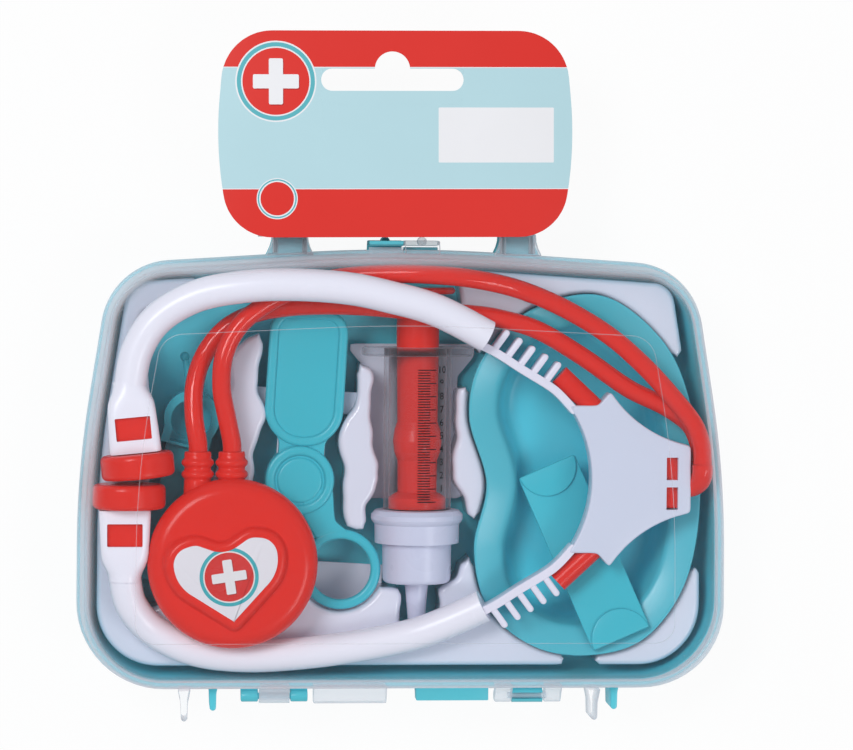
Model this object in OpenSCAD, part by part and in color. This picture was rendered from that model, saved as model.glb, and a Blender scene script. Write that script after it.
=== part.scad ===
// Toy doctor case: two snap-together shells with a carrying handle, a formed
// tray, and the play tools that lie in it. It lies on its back, lid upward.
// Millimetres. +X is right, +Y points to the handle, +Z points up to the lid.

/* [Case] */
// Widest part of the rim, left to right
case_w = 200; // [180:1:240]
// Rim from the hinge side to the handle side
case_l = 136; // [125:1:160]
// Depth of one shell, from the parting plane to its outer face
shell_d = 25; // [23:0.5:32]
// Thickness of the shells' walls
wall = 1.6; // [1.2:0.1:2.4]
// Height of the raised panel on each shell's face
panel_rise = 1.6; // [0.8:0.1:2.5]
// How much each side leans in towards the handle
side_taper = 10.3; // [4:0.1:16]
// Radius of the two corners by the handle
corner_top = 22; // [14:0.5:30]
// Radius of the two corners by the hinges
corner_bottom = 27; // [16:0.5:32]

/* [Handle] */
// Middle of the two posts, measured from the middle of the case
post_x = 35; // [28:0.5:48]
// Width of the posts and of the bar
post_w = 10.4; // [8:0.2:14]
// Height of the handle above the rim
handle_h = 33; // [30:0.5:42]
// Thickness of one half of the handle
handle_t = 7; // [5:0.5:10]
// Gap between the two halves of the handle
handle_gap = 1.0; // [0.8:0.1:2]

/* [Hinges] */
// Distance of each hinge from the middle of the case
hinge_x = 39.2; // [30:0.1:60]
// Distance of the hinge axis from the rim
hinge_out = 2.4; // [2.3:0.1:3.5]
// Radius of the hinge pins
pin_r = 1.0; // [0.8:0.05:1.3]
// Radial play between a pin and its hook
pin_play = 0.06; // [0.02:0.01:0.1]
// Width of a hook along the axis
hook_w = 9.4; // [6:0.1:14]
// Width of an ear along the axis
ear_w = 5.3; // [3:0.1:8]
// Reach of the foot ribs beyond the rim
foot_out = 7.7; // [5:0.1:9]
// Width of the rest plate beside each hinge
plate_w = 22.5; // [10:0.5:24]

/* [Latch] */
// Width of one latch tongue
tongue_w = 10.6; // [6:0.2:14]
// Thickness of a tongue
tongue_t = 1.4; // [1:0.1:2]

/* [Tray] */
// Thickness of the formed sheet
sheet_t = 1.0; // [0.6:0.1:1.5]
// Height of the tray's land above the table
land_z = 18; // [16:0.2:19]
// Distance of the tray's edge inside the rim
tray_in = 7.5; // [6:0.5:10]

/* [Stethoscope] */
// Diameter of the two arms
arm_d = 10; // [8:0.2:11]
// Diameter of the soft tubes
tube_d = 5.8; // [4:0.2:6]
// Diameter of the ear cushions
ear_d = 22.4; // [18:0.2:24]
// Thickness of an ear cushion
ear_t = 7.6; // [5:0.2:8]
// Diameter of the chest piece
chest_d = 51.2; // [44:0.2:52]
// Thickness of the chest piece's wide head
head_t = 8; // [6:0.2:10]
// Height of the narrower drum behind the head
drum_h = 9.6; // [9.4:0.1:11]
// Height of the raised heart
heart_rise = 2.4; // [1:0.1:4]
// Thickness of the yoke
yoke_t = 9; // [7:0.2:10]
// Diameter of the rods between the yoke and the arms
rod_d = 6.4; // [5:0.2:7]

/* [Syringe] */
// Outer diameter of the barrel
barrel_d = 21; // [18:0.2:22]
// Wall of the barrel
barrel_wall = 1.5; // [1:0.1:2.5]
// Length of the barrel from its flange to its end in the cap
barrel_l = 56; // [50:0.5:57]
// Diameter of the cap's flange
cap_d = 28.6; // [26:0.2:30]
// Diameter of the plunger's shaft
shaft_d = 13.2; // [9:0.2:13.6]
// Diameter of the thumb disc
thumb_d = 23; // [16:0.5:24]
// Radial play of the piston in the barrel
piston_play = 0.08; // [0.03:0.01:0.1]

/* [Scissors] */
// Width of a blade
blade_w = 24.4; // [18:0.2:25]
// Length of a blade from the pivot to its tip
blade_l = 53; // [44:0.5:54]
// Thickness of one half
blade_t = 3.1; // [2:0.1:3.2]
// Outer diameter of a finger ring
ring_d = 25; // [22:0.2:25.4]
// Width of the ring's band
ring_band = 3.1; // [2.4:0.1:4]
// Radius of the pivot stud
stud_r = 3.6; // [2.5:0.1:4.5]

/* [Kidney dish] */
// Height of the dish
dish_h = 17.8; // [14:0.2:17.8]
// Thickness of the dish
dish_t = 1.4; // [1:0.1:2]
// Width of the sloping lip
lip_w = 8; // [5:0.5:9]

/* [Header card] */
// Width of the card
card_w = 108.6; // [100:0.2:130]
// Height of the card
card_l = 63.7; // [58:0.2:80]
// Thickness of the board
card_t = 0.5; // [0.3:0.1:0.8]
// Width of the tab behind the handle bar
tab_w = 49; // [30:1:56]

/* [Hidden] */
$fn = 48;

clear_red = "#e63c2c";
soft_white = "#eceaf2";
teal = "#3fc0cf";
clear_plastic = [0.85, 0.93, 0.97, 0.35];
slack = 0.3;

rim_top = case_l / 2;
rim_bottom = -case_l / 2;
mid_z = shell_d;
card_top = rim_top + 67.5;
card_bottom = card_top - card_l;
foot_y = rim_bottom - foot_out;
// The frame's origin is under the middle of the whole outline
case_y = -(card_top + foot_y) / 2;
// The tools' places were drawn for a case 200 wide, and spread with it
wide = case_w / 200;

// --- outlines and lofts -------------------------------------------------

function unit(v) = v / norm(v);

// Corners of a closed outline, moved inward by d
function moved(corners, d) = let (n = len(corners)) [
    for (i = [0:n - 1]) let (
        q = corners[i],
        a = unit(q - corners[(i + n - 1) % n]),
        b = unit(corners[(i + 1) % n] - q),
        na = [-a[1], a[0]],
        nb = [-b[1], b[0]]
    ) q + (na + nb) * d / (1 + na * nb)
];

// An arc of radius rad in the corner p-q-r
function corner_arc(p, q, r, rad, steps) = let (
    a = unit(p - q),
    b = unit(r - q),
    half = acos(a * b) / 2,
    centre = q + unit(a + b) * rad / sin(half),
    s = q + a * rad / tan(half) - centre,
    e = q + b * rad / tan(half) - centre,
    a0 = atan2(s[1], s[0]),
    turn = atan2(e[1], e[0]) - a0,
    sweep = turn > 180 ? turn - 360 : turn < -180 ? turn + 360 : turn
) [for (k = [0:steps]) let (t = a0 + sweep * k / steps) centre + rad * [cos(t), sin(t)]];

// Closed outline with a rounded corner at each point, moved inward by d
function outline(corners, radii, d = 0, steps = 6) = let (c = moved(corners, d), n = len(c)) [
    for (i = [0:n - 1]) let (
        p = c[(i + n - 1) % n],
        r = c[(i + 1) % n],
        side = cross(c[i] - p, r - c[i]) > 0 ? 1 : -1
    ) each corner_arc(p, c[i], r, max(radii[i] - side * d, 0.3), steps)
];

// Point on a smooth curve between b and c
function blend_point(a, b, c, d, t) =
    0.5 * (2 * b + (c - a) * t + (2 * a - 5 * b + 4 * c - d) * t * t
    + (3 * b - a - 3 * c + d) * t * t * t);

// Closed smooth curve through the points
function closed_curve(p, steps) = let (n = len(p)) [
    for (i = [0:n - 1]) for (k = [0:steps - 1])
        blend_point(p[(i + n - 1) % n], p[i], p[(i + 1) % n], p[(i + 2) % n], k / steps)
];

// Open smooth curve through the points
function open_curve(p, steps) = let (n = len(p)) concat(
    [for (i = [0:n - 2]) for (k = [0:steps - 1])
        blend_point(p[max(i - 1, 0)], p[i], p[i + 1], p[min(i + 2, n - 1)], k / steps)],
    [p[n - 1]]
);

// Every point of a closed curve moved inward along its normal
function inside(c, d) = let (n = len(c)) [
    for (i = [0:n - 1]) let (t = unit(c[(i + 1) % n] - c[(i + n - 1) % n]))
        c[i] + d * [-t[1], t[0]]
];

// Points drawn for a case 200 wide, spread to the real width
function across(points) = [for (p = points) [for (i = [0:len(p) - 1]) i == 0 ? p[i] * wide : p[i]]];

function at_height(c, z) = [for (p = c) [p[0], p[1], z]];

// Solid through a stack of rings with equal numbers of points
module loft(rings) {
    n = len(rings[0]);
    m = len(rings);
    polyhedron(
        points = [for (r = rings) each r],
        faces = concat(
            [[for (i = [0:n - 1]) i]],
            [for (j = [0:m - 2]) for (i = [0:n - 1]) let (k = (i + 1) % n) each [
                [j * n + i, (j + 1) * n + i, (j + 1) * n + k],
                [j * n + i, (j + 1) * n + k, j * n + k]
            ]],
            [[for (i = [n - 1:-1:0]) (m - 1) * n + i]]
        )
    );
}

// Round tube swept along a curve
module swept(path, r, sides = 8) {
    n = len(path);
    loft([
        for (i = [0:n - 1]) let (
            t = unit(path[min(i + 1, n - 1)] - path[max(i - 1, 0)]),
            u = unit(cross([0, 0, 1], t)),
            v = cross(t, u)
        ) [for (k = [0:sides - 1]) let (w = 360 * (k + 0.5) / sides)
            path[i] + r * (cos(w) * u + sin(w) * v)]
    ]);
}

// Moves a piece from the middle of the case to the frame's origin
module place() {
    translate([0, case_y, 0]) children();
}

// A profile in Y and Z, drawn out along X
module along_x(x0, x1) {
    translate([x0, 0, 0]) rotate([90, 0, 90]) linear_extrude(x1 - x0) children();
}

// A profile of radius and length, turned about an axis along Y
module along_y(x, z) {
    translate([x, 0, z]) rotate([-90, 0, 0]) rotate_extrude($fn = 64) children();
}

// --- case -----------------------------------------------------------------

rim_corners = [
    [0, rim_top + 0.6],
    [-(case_w / 2 - side_taper), rim_top - 5.2],
    [-(case_w / 2 - 0.2), 0],
    [-(case_w / 2 + 0.2), rim_bottom],
    [case_w / 2 + 0.2, rim_bottom],
    [case_w / 2 - 0.2, 0],
    [case_w / 2 - side_taper, rim_top - 5.2]
];
rim_radii = [500, corner_top, 300, corner_bottom, corner_bottom, 300, corner_top];

panel_side = 18.4;
panel_top = rim_top - 22.6;
panel_bottom = rim_bottom + 16.4;
panel_corners = [
    [0, panel_top],
    [-(case_w / 2 - side_taper - panel_side + 3), panel_top - 3.6],
    [-(case_w / 2 - panel_side), 0],
    [-(case_w / 2 - panel_side + 0.4), panel_bottom],
    [case_w / 2 - panel_side + 0.4, panel_bottom],
    [case_w / 2 - panel_side, 0],
    [case_w / 2 - side_taper - panel_side + 3, panel_top - 3.6]
];
panel_radii = [500, 8, 300, 6, 6, 300, 8];

bead = 0.8;
bead_h = 2.2;
face_z = -(shell_d - panel_rise);
// Inset and height of the wall's outer side, from the face to the bead
wall_levels = [
    [bead + 6.2, face_z],
    [bead + 3.2, face_z + 1.4],
    [bead + 1.6, face_z + 4.5],
    [bead + 0.8, face_z + 9.4],
    [bead, -bead_h - 0.6]
];

function rim_ring(d, z) = at_height(outline(rim_corners, rim_radii, d, 8), z);
function panel_ring(d, z) = at_height(outline(panel_corners, panel_radii, d, 4), z);

hinge_y = rim_bottom - hinge_out;
hook_r = hinge_out - 0.2;
ear_r = hinge_out - 0.6;
parting = 0.4;
root_y = rim_bottom + bead + wall / 2;

// One ear, with its profile reaching down the shell's wall
module ear(x0) {
    along_x(x0, x0 + ear_w) {
        translate([hinge_y, 0]) circle(r = ear_r);
        polygon([
            [hinge_y - ear_r, 0], [hinge_y, -parting], [root_y, -parting],
            [root_y, -8], [hinge_y - ear_r, -2.4]
        ]);
    }
}

// Ears with the pin between them
module pin_hinge() {
    span = hook_w / 2 + slack;
    ear(-span - ear_w);
    ear(span);
    translate([-span - 1, hinge_y, 0]) rotate([0, 90, 0]) cylinder(r = pin_r, h = 2 * span + 2);
}

// Hook that snaps over the other shell's pin
module hook_hinge() {
    bore = pin_r + pin_play;
    along_x(-hook_w / 2, hook_w / 2) difference() {
        union() {
            translate([hinge_y, 0]) circle(r = hook_r);
            polygon([
                [hinge_y, -parting], [root_y, -parting], [root_y, -7],
                [hinge_y - 1.2, -hook_r + 0.4]
            ]);
        }
        translate([hinge_y, 0]) circle(r = bore);
        translate([hinge_y - 0.85 * bore, 0]) square([1.7 * bore, hook_r + 1]);
    }
}

// Rib that the closed case stands on
module foot_rib(x) {
    translate([x, 0, -19]) linear_extrude(14) {
        polygon([
            [-1.9, root_y], [-1.0, rim_bottom - 2.4], [-1.0, foot_y + 1],
            [1.0, foot_y + 1], [1.0, rim_bottom - 2.4], [1.9, root_y]
        ]);
        translate([0, foot_y + 1]) circle(r = 1);
    }
}

module rest_plate(x0) {
    plate_y = rim_bottom - 4.1;
    along_x(x0, x0 + plate_w) polygon([
        [plate_y, -parting], [root_y, -parting], [root_y, -10], [plate_y, -5.5]
    ]);
}

tongue_y = rim_top + 0.9;
// Tongue that reaches over the other shell's rim, and the rib that takes the other tongue
module latch() {
    reach = 5.2;
    mid = -tongue_w / 2 - 0.2;
    root = rim_top - bead - wall - 1;
    along_x(mid - tongue_w / 2, mid + tongue_w / 2) {
        polygon([
            [root, -4.5], [tongue_y, -4.5], [tongue_y, reach - 0.6],
            [tongue_y + 0.5, reach], [tongue_y + tongue_t, reach],
            [tongue_y + tongue_t, -7], [root, -10]
        ]);
        translate([tongue_y + 0.25, reach - 1.3]) circle(r = 0.6);
    }
    translate([mid, tongue_y + tongue_t - 0.2, -5]) cylinder(r = 1.4, h = 4.2);
    along_x(-mid - tongue_w / 2, -mid + tongue_w / 2) polygon([
        [root, -3.8], [rim_top + 0.3, -3.2],
        [rim_top + 0.3, -2.4], [root, -2.4]
    ]);
}

handle_top = rim_top + handle_h;
function handle_outer(d) = outline([
    [post_x + post_w / 2, handle_top], [-post_x - post_w / 2, handle_top],
    [-post_x - post_w / 2, rim_top - 2.4], [post_x + post_w / 2, rim_top - 2.4]
], [12, 12, 0.4, 0.4], d, 8);
function handle_inner(d) = outline([
    [post_x - post_w / 2, handle_top - post_w], [-post_x + post_w / 2, handle_top - post_w],
    [-post_x + post_w / 2, rim_top - 14], [post_x - post_w / 2, rim_top - 14]
], [5, 5, 0.4, 0.4], d, 6);

// Half of the handle: a channel that opens to the parting plane
module handle_half() {
    channel = wall - 0.2;
    top = -handle_gap / 2;
    difference() {
        translate([0, 0, -handle_t]) linear_extrude(handle_t + top) difference() {
            polygon(handle_outer(0));
            polygon(handle_inner(0));
        }
        translate([0, 0, -handle_t + channel]) linear_extrude(handle_t) difference() {
            polygon(handle_outer(channel));
            polygon(handle_inner(-channel));
            translate([-case_w / 2, 0]) square([case_w, rim_top + 0.4]);
        }
    }
    for (s = [-1, 1]) translate([s * post_x, 0, -handle_t]) linear_extrude(handle_t + top) polygon([
        [-post_w / 2 - 2, rim_top - 2.4], [post_w / 2 + 2, rim_top - 2.4],
        [post_w / 2 + 0.6, rim_top + 0.2], [post_w / 2, rim_top + 2.2],
        [-post_w / 2, rim_top + 2.2], [-post_w / 2 - 0.6, rim_top + 0.2]
    ]);
}

// One shell, open upward, with its parting plane at Z = 0
module shell() {
    difference() {
        union() {
            loft(concat(
                [for (l = wall_levels) rim_ring(l[0], l[1])],
                [rim_ring(0, -bead_h), rim_ring(0, 0)]
            ));
            loft([
                panel_ring(1.3, -shell_d),
                panel_ring(0.5, -shell_d + 0.3),
                panel_ring(0, face_z + 0.2)
            ]);
            pin_side();
        }
        loft(concat(
            [for (l = wall_levels) rim_ring(l[0] + wall, l[1] + wall)],
            [rim_ring(bead + wall, 1)]
        ));
        loft([
            panel_ring(1.3 + wall, -shell_d + wall),
            panel_ring(0.5 + wall, -shell_d + wall + 0.3),
            panel_ring(wall, face_z + wall + 0.2)
        ]);
    }
}

// Everything that stands out of a shell's rim
module pin_side() {
    translate([-hinge_x, 0, 0]) pin_hinge();
    translate([hinge_x, 0, 0]) hook_hinge();
    foot_rib(67.1);
    foot_rib(-58);
    rest_plate(4.8);
    latch();
    handle_half();
}

module base_shell() {
    color(teal) place() translate([0, 0, mid_z]) shell();
}

module lid_shell() {
    color(clear_plastic) place() translate([0, 0, mid_z]) rotate([0, 180, 0]) shell();
}

// --- dish -------------------------------------------------------------------

// Kidney outline, through points on the edge of its lip
dish_points = across([
    [21, 16], [26.6, -5], [22.8, -25], [27.5, -44], [42, -56], [60, -58.6], [77, -53],
    [89.5, -35], [93.6, -8], [90.2, 20], [81, 40], [62, 53.6], [40, 49], [25, 34]
]);
dish_curve = closed_curve(dish_points, 4);
floor_z = wall + panel_rise + slack;
dish_top = floor_z + dish_h;

module kidney_dish() {
    in_z = dish_top - 2.8;
    color(teal) place() loft([
        at_height(inside(dish_curve, lip_w + 5.2), floor_z),
        at_height(inside(dish_curve, lip_w + 3.6), floor_z + 1),
        at_height(inside(dish_curve, lip_w + 0.8), in_z - dish_t),
        at_height(inside(dish_curve, lip_w - 1.6), in_z - dish_t + 0.9),
        at_height(inside(dish_curve, 0.5), dish_top - dish_t),
        at_height(dish_curve, dish_top - dish_t + 0.5),
        at_height(inside(dish_curve, 0.3), dish_top),
        at_height(inside(dish_curve, lip_w), in_z + 0.4),
        at_height(inside(dish_curve, lip_w + 1.4), in_z - 0.6),
        at_height(inside(dish_curve, lip_w + 4.6), floor_z + dish_t + 1.2),
        at_height(inside(dish_curve, lip_w + 5.6), floor_z + dish_t)
    ]);
}

// --- tray -------------------------------------------------------------------

syringe_x = 5.3 * wide;
syringe_z = wall + slack + cap_d / 2;
barrel_top = 37.2;
barrel_end = barrel_top - barrel_l;
flange_w = 35;
flange_t = 2.6;
flange_depth = 20;
cap_top = barrel_end + 5.6;

pivot_at = [-31.3 * wide, -4.2];
lean = -3.4;
ring_at = [14.4, -26.9];
scissor_z = land_z + 0.5 - 2 * blade_t - 0.2;

// Pockets, each wider by g than its clear size
module syringe_pocket(g) {
    polygon(outline(across([
        [18, 62], [-14.5, 62], [-14.5, 36], [-8.6, 29], [-9, 8], [-6.3, 1], [-6.3, -4], [-10.6, -12],
        [-9.4, -25], [-6.4, -36.4], [0.2, -38.6], [0.2, -51], [11.6, -51], [12, -38], [18, -35],
        [21.8, -16], [16.6, -4], [16.4, 2], [18, 28], [23.1, 34.2], [23.1, 38.6], [19, 44]
    ]), [3, 3, 6, 6, 6, 3, 3, 5, 8, 4, 2, 3, 3, 2, 4, 8, 4, 6, 6, 0.6, 2, 4], -g, 3));
}

module scissor_pocket(g) {
    translate(pivot_at) rotate(lean) {
        polygon(outline([
            [14.6, 62], [-14.4, 62], [-14.4, 27], [-11.6, 19], [-14.6, 6], [-14.6, -26],
            [14.6, -26], [14.6, -12], [13.4, 2], [11, 14], [16.2, 28]
        ], [3, 3, 10, 6, 10, 1, 1, 3, 10, 8, 8], -g, 3));
        for (s = [-1, 1]) translate([s * ring_at[0], ring_at[1]])
            circle(r = ring_d / 2 + (s < 0 ? 3.5 : 1.2) + g);
    }
}

module otoscope_pocket(g) {
    polygon(outline(across([
        [-44, 62], [-84, 46], [-78, 30], [-75.4, 3], [-87, -33], [-82.5, -43],
        [-70, -43], [-55.8, 3], [-53, 34], [-44, 44]
    ]), [3, 8, 12, 20, 4, 4, 10, 20, 10, 4], -g, 4));
}

module dish_pocket(g) {
    polygon(inside(dish_curve, -0.5 - g));
}

module pockets(g) {
    syringe_pocket(g);
    scissor_pocket(g);
    otoscope_pocket(g);
    dish_pocket(g);
}

module tray_outline(d) {
    polygon(outline(rim_corners, rim_radii, tray_in + d, 8));
}

// Formed sheet: a land with skirts down to the shell, and shelves in the scissor pocket
module tray() {
    skirt_z = floor_z + 0.5;
    color(soft_white) place() {
        difference() {
            translate([0, 0, skirt_z]) linear_extrude(land_z - skirt_z) tray_outline(0);
            translate([0, 0, floor_z - 1]) linear_extrude(land_z - floor_z + 1 - sheet_t) difference() {
                tray_outline(sheet_t);
                pockets(sheet_t);
            }
            translate([0, 0, floor_z - 1]) linear_extrude(land_z) pockets(0);
        }
        shelf_z = scissor_z - slack - sheet_t;
        translate([pivot_at[0], pivot_at[1], shelf_z]) rotate(lean) {
            linear_extrude(sheet_t) {
                translate([-7.5, -8]) square([15, blade_l + 12]);
                translate([-16, 21]) square([34, 7]);
            }
            for (y = [-8, blade_l - 6]) translate([-7.5, y, skirt_z - shelf_z])
                cube([15, sheet_t, shelf_z - skirt_z]);
        }
        translate([pivot_at[0], pivot_at[1], floor_z + 1]) rotate(lean)
            translate([ring_at[0] - 2, ring_at[1], 0]) linear_extrude(sheet_t)
                translate([-12, -15]) square([28, 16]);
    }
}

// --- header card --------------------------------------------------------------

card_x = -2.6;
card_z = mid_z + handle_t + slack;
slot_y = card_top - 14.9;

module hang_slot() {
    translate([card_x - 0.3, slot_y]) {
        square([36.8, 6.8], center = true);
        for (s = [-1, 1]) translate([s * 18.4, 0]) circle(d = 6.8);
        translate([0, 3.2]) circle(r = 5.4);
    }
}

module card_outline() {
    half = card_w / 2;
    translate([card_x, 0]) polygon(outline([
        [half - 3, card_top], [-half + 3, card_top], [-half - 0.3, card_bottom + card_l * 0.46],
        [-half + 4, card_bottom], [half - 4, card_bottom], [half + 0.3, card_bottom + card_l * 0.46]
    ], [15, 15, 120, 15, 15, 120], 0, 8));
}

// Board folded over at its top, with a tab that passes behind the lid's handle bar
module header_card() {
    bar_top = handle_top + 0.6;
    tab_end = card_bottom - 0.9;
    half = card_t / 2;
    color([0.9, 0.3, 0.28]) place() {
        translate([0, 0, card_z]) linear_extrude(card_t) difference() {
            card_outline();
            hang_slot();
        }
        difference() {
            along_x(card_x - tab_w / 2, card_x + tab_w / 2) polygon([
                [tab_end, mid_z - half], [tab_end, mid_z + half],
                [bar_top + 1, mid_z + half], [card_top - 0.6, card_z + 0.1],
                [card_top, card_z + 0.1], [card_top, card_z - 0.5], [bar_top + 1.2, mid_z - half]
            ]);
            translate([0, 0, mid_z - 2]) linear_extrude(handle_t + 4) hang_slot();
        }
    }
}

// --- stethoscope ----------------------------------------------------------------

arm_z = 29.6;
// The lower arm lies on the tray, under the chest piece
seat_z = land_z + arm_d / 2 + 0.2;
// Mouths of the two housings, with the upper one's turn
upper_at = [-82 * wide, 5.2];
upper_turn = 5.6;
lower_at = [-85.2 * wide, -12.4];
adapter_w = 15;
adapter_t = 11.4;
// Centre line of each arm, from its adapter to its comb
upper_arm = across([
    [-84, 24, arm_z], [-81.8, 36, 30], [-75.5, 46, 31], [-64, 53, 32.4], [-50, 56, 34],
    [-35, 56.8, 34.8], [-18, 55.8, 35], [-4, 53, 34.6], [10, 49, 34.2], [25.4, 41.2, 32.1]
]);
lower_arm = across([
    [-85.4, -31.4, arm_z], [-83.4, -41.6, 27], [-76.4, -50.2, 24], [-64, -56.3, seat_z], [-48, -58.3, seat_z],
    [-30, -57.4, seat_z], [-12, -55, seat_z], [4, -51.6, 23.6], [15, -47.4, 25], [25.4, -42.4, 27]
]);
yoke_z = dish_top + slack;
yoke_mid = -3;
rod_z = yoke_z + yoke_t / 2 + 0.4;

// Housing at the end of an arm, with a window that shows the ear tip's stem
module adapter() {
    stem_w = adapter_w - 3;
    stem_t = adapter_t - 3;
    difference() {
        translate([0, 0, -adapter_t / 2]) linear_extrude(adapter_t) polygon([
            [-adapter_w / 2 + 0.6, 0], [adapter_w / 2 + 0.6, 0], [adapter_w / 2, 9],
            [adapter_w / 2 - 0.4, 15], [arm_d / 2, 20.5],
            [-arm_d / 2, 20.5], [-adapter_w / 2 + 0.4, 15], [-adapter_w / 2, 9]
        ]);
        translate([-stem_w / 2, -1, -stem_t / 2]) cube([stem_w, 15, stem_t]);
        translate([-5.4, 4, 0]) cube([10.8, 7, adapter_t]);
    }
}

// One arm from its housing to the comb that grips the rod
module arm(path) {
    swept(open_curve(path, 2), arm_d / 2, 12);
}

// Edge that runs on from the comb's spine into the yoke, and the comb's first and last finger
comb_edge = across([[20.8, 38.3], [28.2, 34.7], [35.6, 30], [43.9, 25], [47.6, 22.1], [52.4, 16.8]]);
comb_fingers = across([[27.6, 36.4], [43.6, 26.6]]);
comb_h = 7.6;

// Spine and fingers between an arm and the yoke, drawn for the upper arm
module comb() {
    spine_w = 2.6;
    finger = 7;
    edge = open_curve(comb_edge, 3);
    n = len(edge) - 1;
    far = [for (i = [n:-1:0]) let (t = unit(edge[min(i + 1, n)] - edge[max(i - 1, 0)]))
        edge[i] + spine_w * [-t[1], t[0]]];
    translate([0, 0, rod_z - comb_h / 2]) {
        linear_extrude(comb_h) polygon(concat(edge, far));
        for (i = [0:4]) translate(comb_fingers[0] + (comb_fingers[1] - comb_fingers[0]) * i / 4) rotate(-36) {
            translate([-0.9, 0, 0]) cube([1.8, finger, comb_h]);
            translate([0, finger, 0]) cylinder(r = 0.9, h = comb_h, $fn = 24);
        }
    }
}

yoke_end = 89.2 * wide;
yoke_half = 22.8;
// Sideways place of the yoke's neck and horns, and the middles of its three hollow edges
yoke_neck = 52.5 * wide;
yoke_notch = 60.3 * wide;
yoke_horn = 63.9 * wide;
yoke_left = [58.4 * wide - 39.6, 39.6];
yoke_side = [96 * wide, 48, 38.2];

module yoke_outline() {
    outer = yoke_mid + yoke_half + 4.2;
    difference() {
        polygon([
            [yoke_neck - 3, yoke_mid + yoke_half], [yoke_notch, yoke_mid + yoke_half],
            [yoke_horn, outer], [yoke_end, outer],
            [yoke_end, 2 * yoke_mid - outer], [yoke_horn, 2 * yoke_mid - outer],
            [yoke_notch, yoke_mid - yoke_half], [yoke_neck - 3, yoke_mid - yoke_half]
        ]);
        translate([yoke_left[0], yoke_mid]) circle(r = yoke_left[1], $fn = 96);
        for (s = [-1, 1]) translate([yoke_side[0], yoke_mid + s * yoke_side[1]])
            circle(r = yoke_side[2], $fn = 96);
    }
}

// White frame: two arms, their combs and the yoke that joins them
module headset_frame() {
    color(soft_white) place() {
        translate([upper_at[0], upper_at[1], arm_z]) rotate(upper_turn) adapter();
        translate([lower_at[0], lower_at[1], arm_z]) mirror([0, 1, 0]) adapter();
        arm(upper_arm);
        arm(lower_arm);
        difference() {
            union() {
                comb();
                translate([0, 2 * yoke_mid, 0]) mirror([0, 1, 0]) comb();
                translate([0, 0, yoke_z]) linear_extrude(yoke_t) yoke_outline();
            }
            for (y = [0.3, -8.9]) translate([yoke_end - 7.6, y - 3.5, yoke_z + 2]) cube([3.6, 7, yoke_t]);
            for (s = [-1, 1]) rod_path(s) cylinder(d = rod_d + 2 * slack, h = rod_l + slack);
            translate([yoke_end - 10.4, yoke_mid - 9.4, rod_z - 3.2]) cube([12, 18.8, 5.4]);
        }
    }
}

rod_l = 20;
rod_side = 32.2;

// Places a rod's axis, from the comb's last finger into the yoke
module rod_path(s) {
    translate([48.4 * wide, yoke_mid + s * rod_side, rod_z]) rotate([0, 90, -s * 43]) children();
}

module neck_rod(s) {
    color(clear_red) place() rod_path(s) cylinder(d = rod_d, h = rod_l);
}

module neck_rod_upper() {
    neck_rod(1);
}

module neck_rod_lower() {
    neck_rod(-1);
}

// Soft ear cushion with the stem that fills its housing
module ear_tip(cushion_off) {
    r = ear_d / 2;
    stem_w = adapter_w - 3.4;
    stem_t = adapter_t - 3.4;
    translate([cushion_off, 0, 0]) rotate([90, 0, 0]) rotate_extrude($fn = 64) polygon(concat(
        [[0, 0]],
        corner_arc([0, 0], [r, 0], [r, ear_t], 1.6, 4),
        corner_arc([r, 0], [r, ear_t], [0, ear_t], 1.6, 4),
        [[4.4, ear_t], [3.4, ear_t - 1.8], [0, ear_t - 1.8]]
    ));
    translate([-stem_w / 2, -0.5, -stem_t / 2]) cube([stem_w, 13.8, stem_t]);
}

module ear_tip_upper() {
    color(clear_red) place()
        translate([upper_at[0], upper_at[1], arm_z]) rotate(upper_turn) translate([0, -slack, 0]) ear_tip(0.2);
}

module ear_tip_lower() {
    color(clear_red) place()
        translate([lower_at[0], lower_at[1] + slack, arm_z]) mirror([0, 1, 0]) ear_tip(1.2);
}

chest_at = [-52.6 * wide, -29.8];
drum_r = chest_d / 2 - 3;
chest_z = land_z + 0.8;
head_z = chest_z + drum_h;
heart_z = head_z + head_t;
port_z = head_z - 0.6;
port_x = [-63 * wide, -52.6 * wide];
port_end = 5.4;
port_depth = 6;

function heart_corners(d) = outline([
    [0, 9.4], [-8.4, 15.2], [-20.4, 13.4], [-19.2, -1], [0, -18], [19.2, -1], [20.4, 13.4], [8.4, 15.2]
], [4, 8, 9, 14, 2.6, 14, 9, 8], d, 6);

module heart_place() {
    translate([chest_at[0] - 1.2, chest_at[1] - 3, 0]) rotate(8) children();
}

// Wide head with the raised heart and the two ribbed tube ports
module chestpiece_front() {
    r = chest_d / 2;
    color(clear_red) place() difference() {
        union() {
            translate([chest_at[0], chest_at[1], head_z]) rotate_extrude($fn = 96) polygon(concat(
                [[0, 0]],
                corner_arc([0, 0], [r, 0], [r, head_t], 1.4, 3),
                corner_arc([r, 0], [r, head_t], [0, head_t], 4.6, 8),
                [[0, head_t]]
            ));
            translate([0, 0, heart_z - 0.5]) linear_extrude(heart_rise + 0.5)
                heart_place() polygon(heart_corners(0));
            for (x = port_x) translate([x, 0, port_z]) rotate([-90, 0, 0]) {
                translate([0, 0, chest_at[1] + 18]) cylinder(d = 8.4, h = port_end - chest_at[1] - 18);
                for (y = [-1.6, 2]) translate([0, 0, y]) rotate_extrude($fn = 48)
                    translate([3.6, 0]) circle(r = 1.35, $fn = 24);
            }
        }
        translate([chest_at[0], chest_at[1], chest_z - 1]) cylinder(r = drum_r + 0.1, h = drum_h + 1);
        for (x = port_x) translate([x, port_end - port_depth, port_z]) rotate([-90, 0, 0])
            cylinder(d = tube_d + 0.2, h = port_depth + 4);
    }
}

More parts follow.
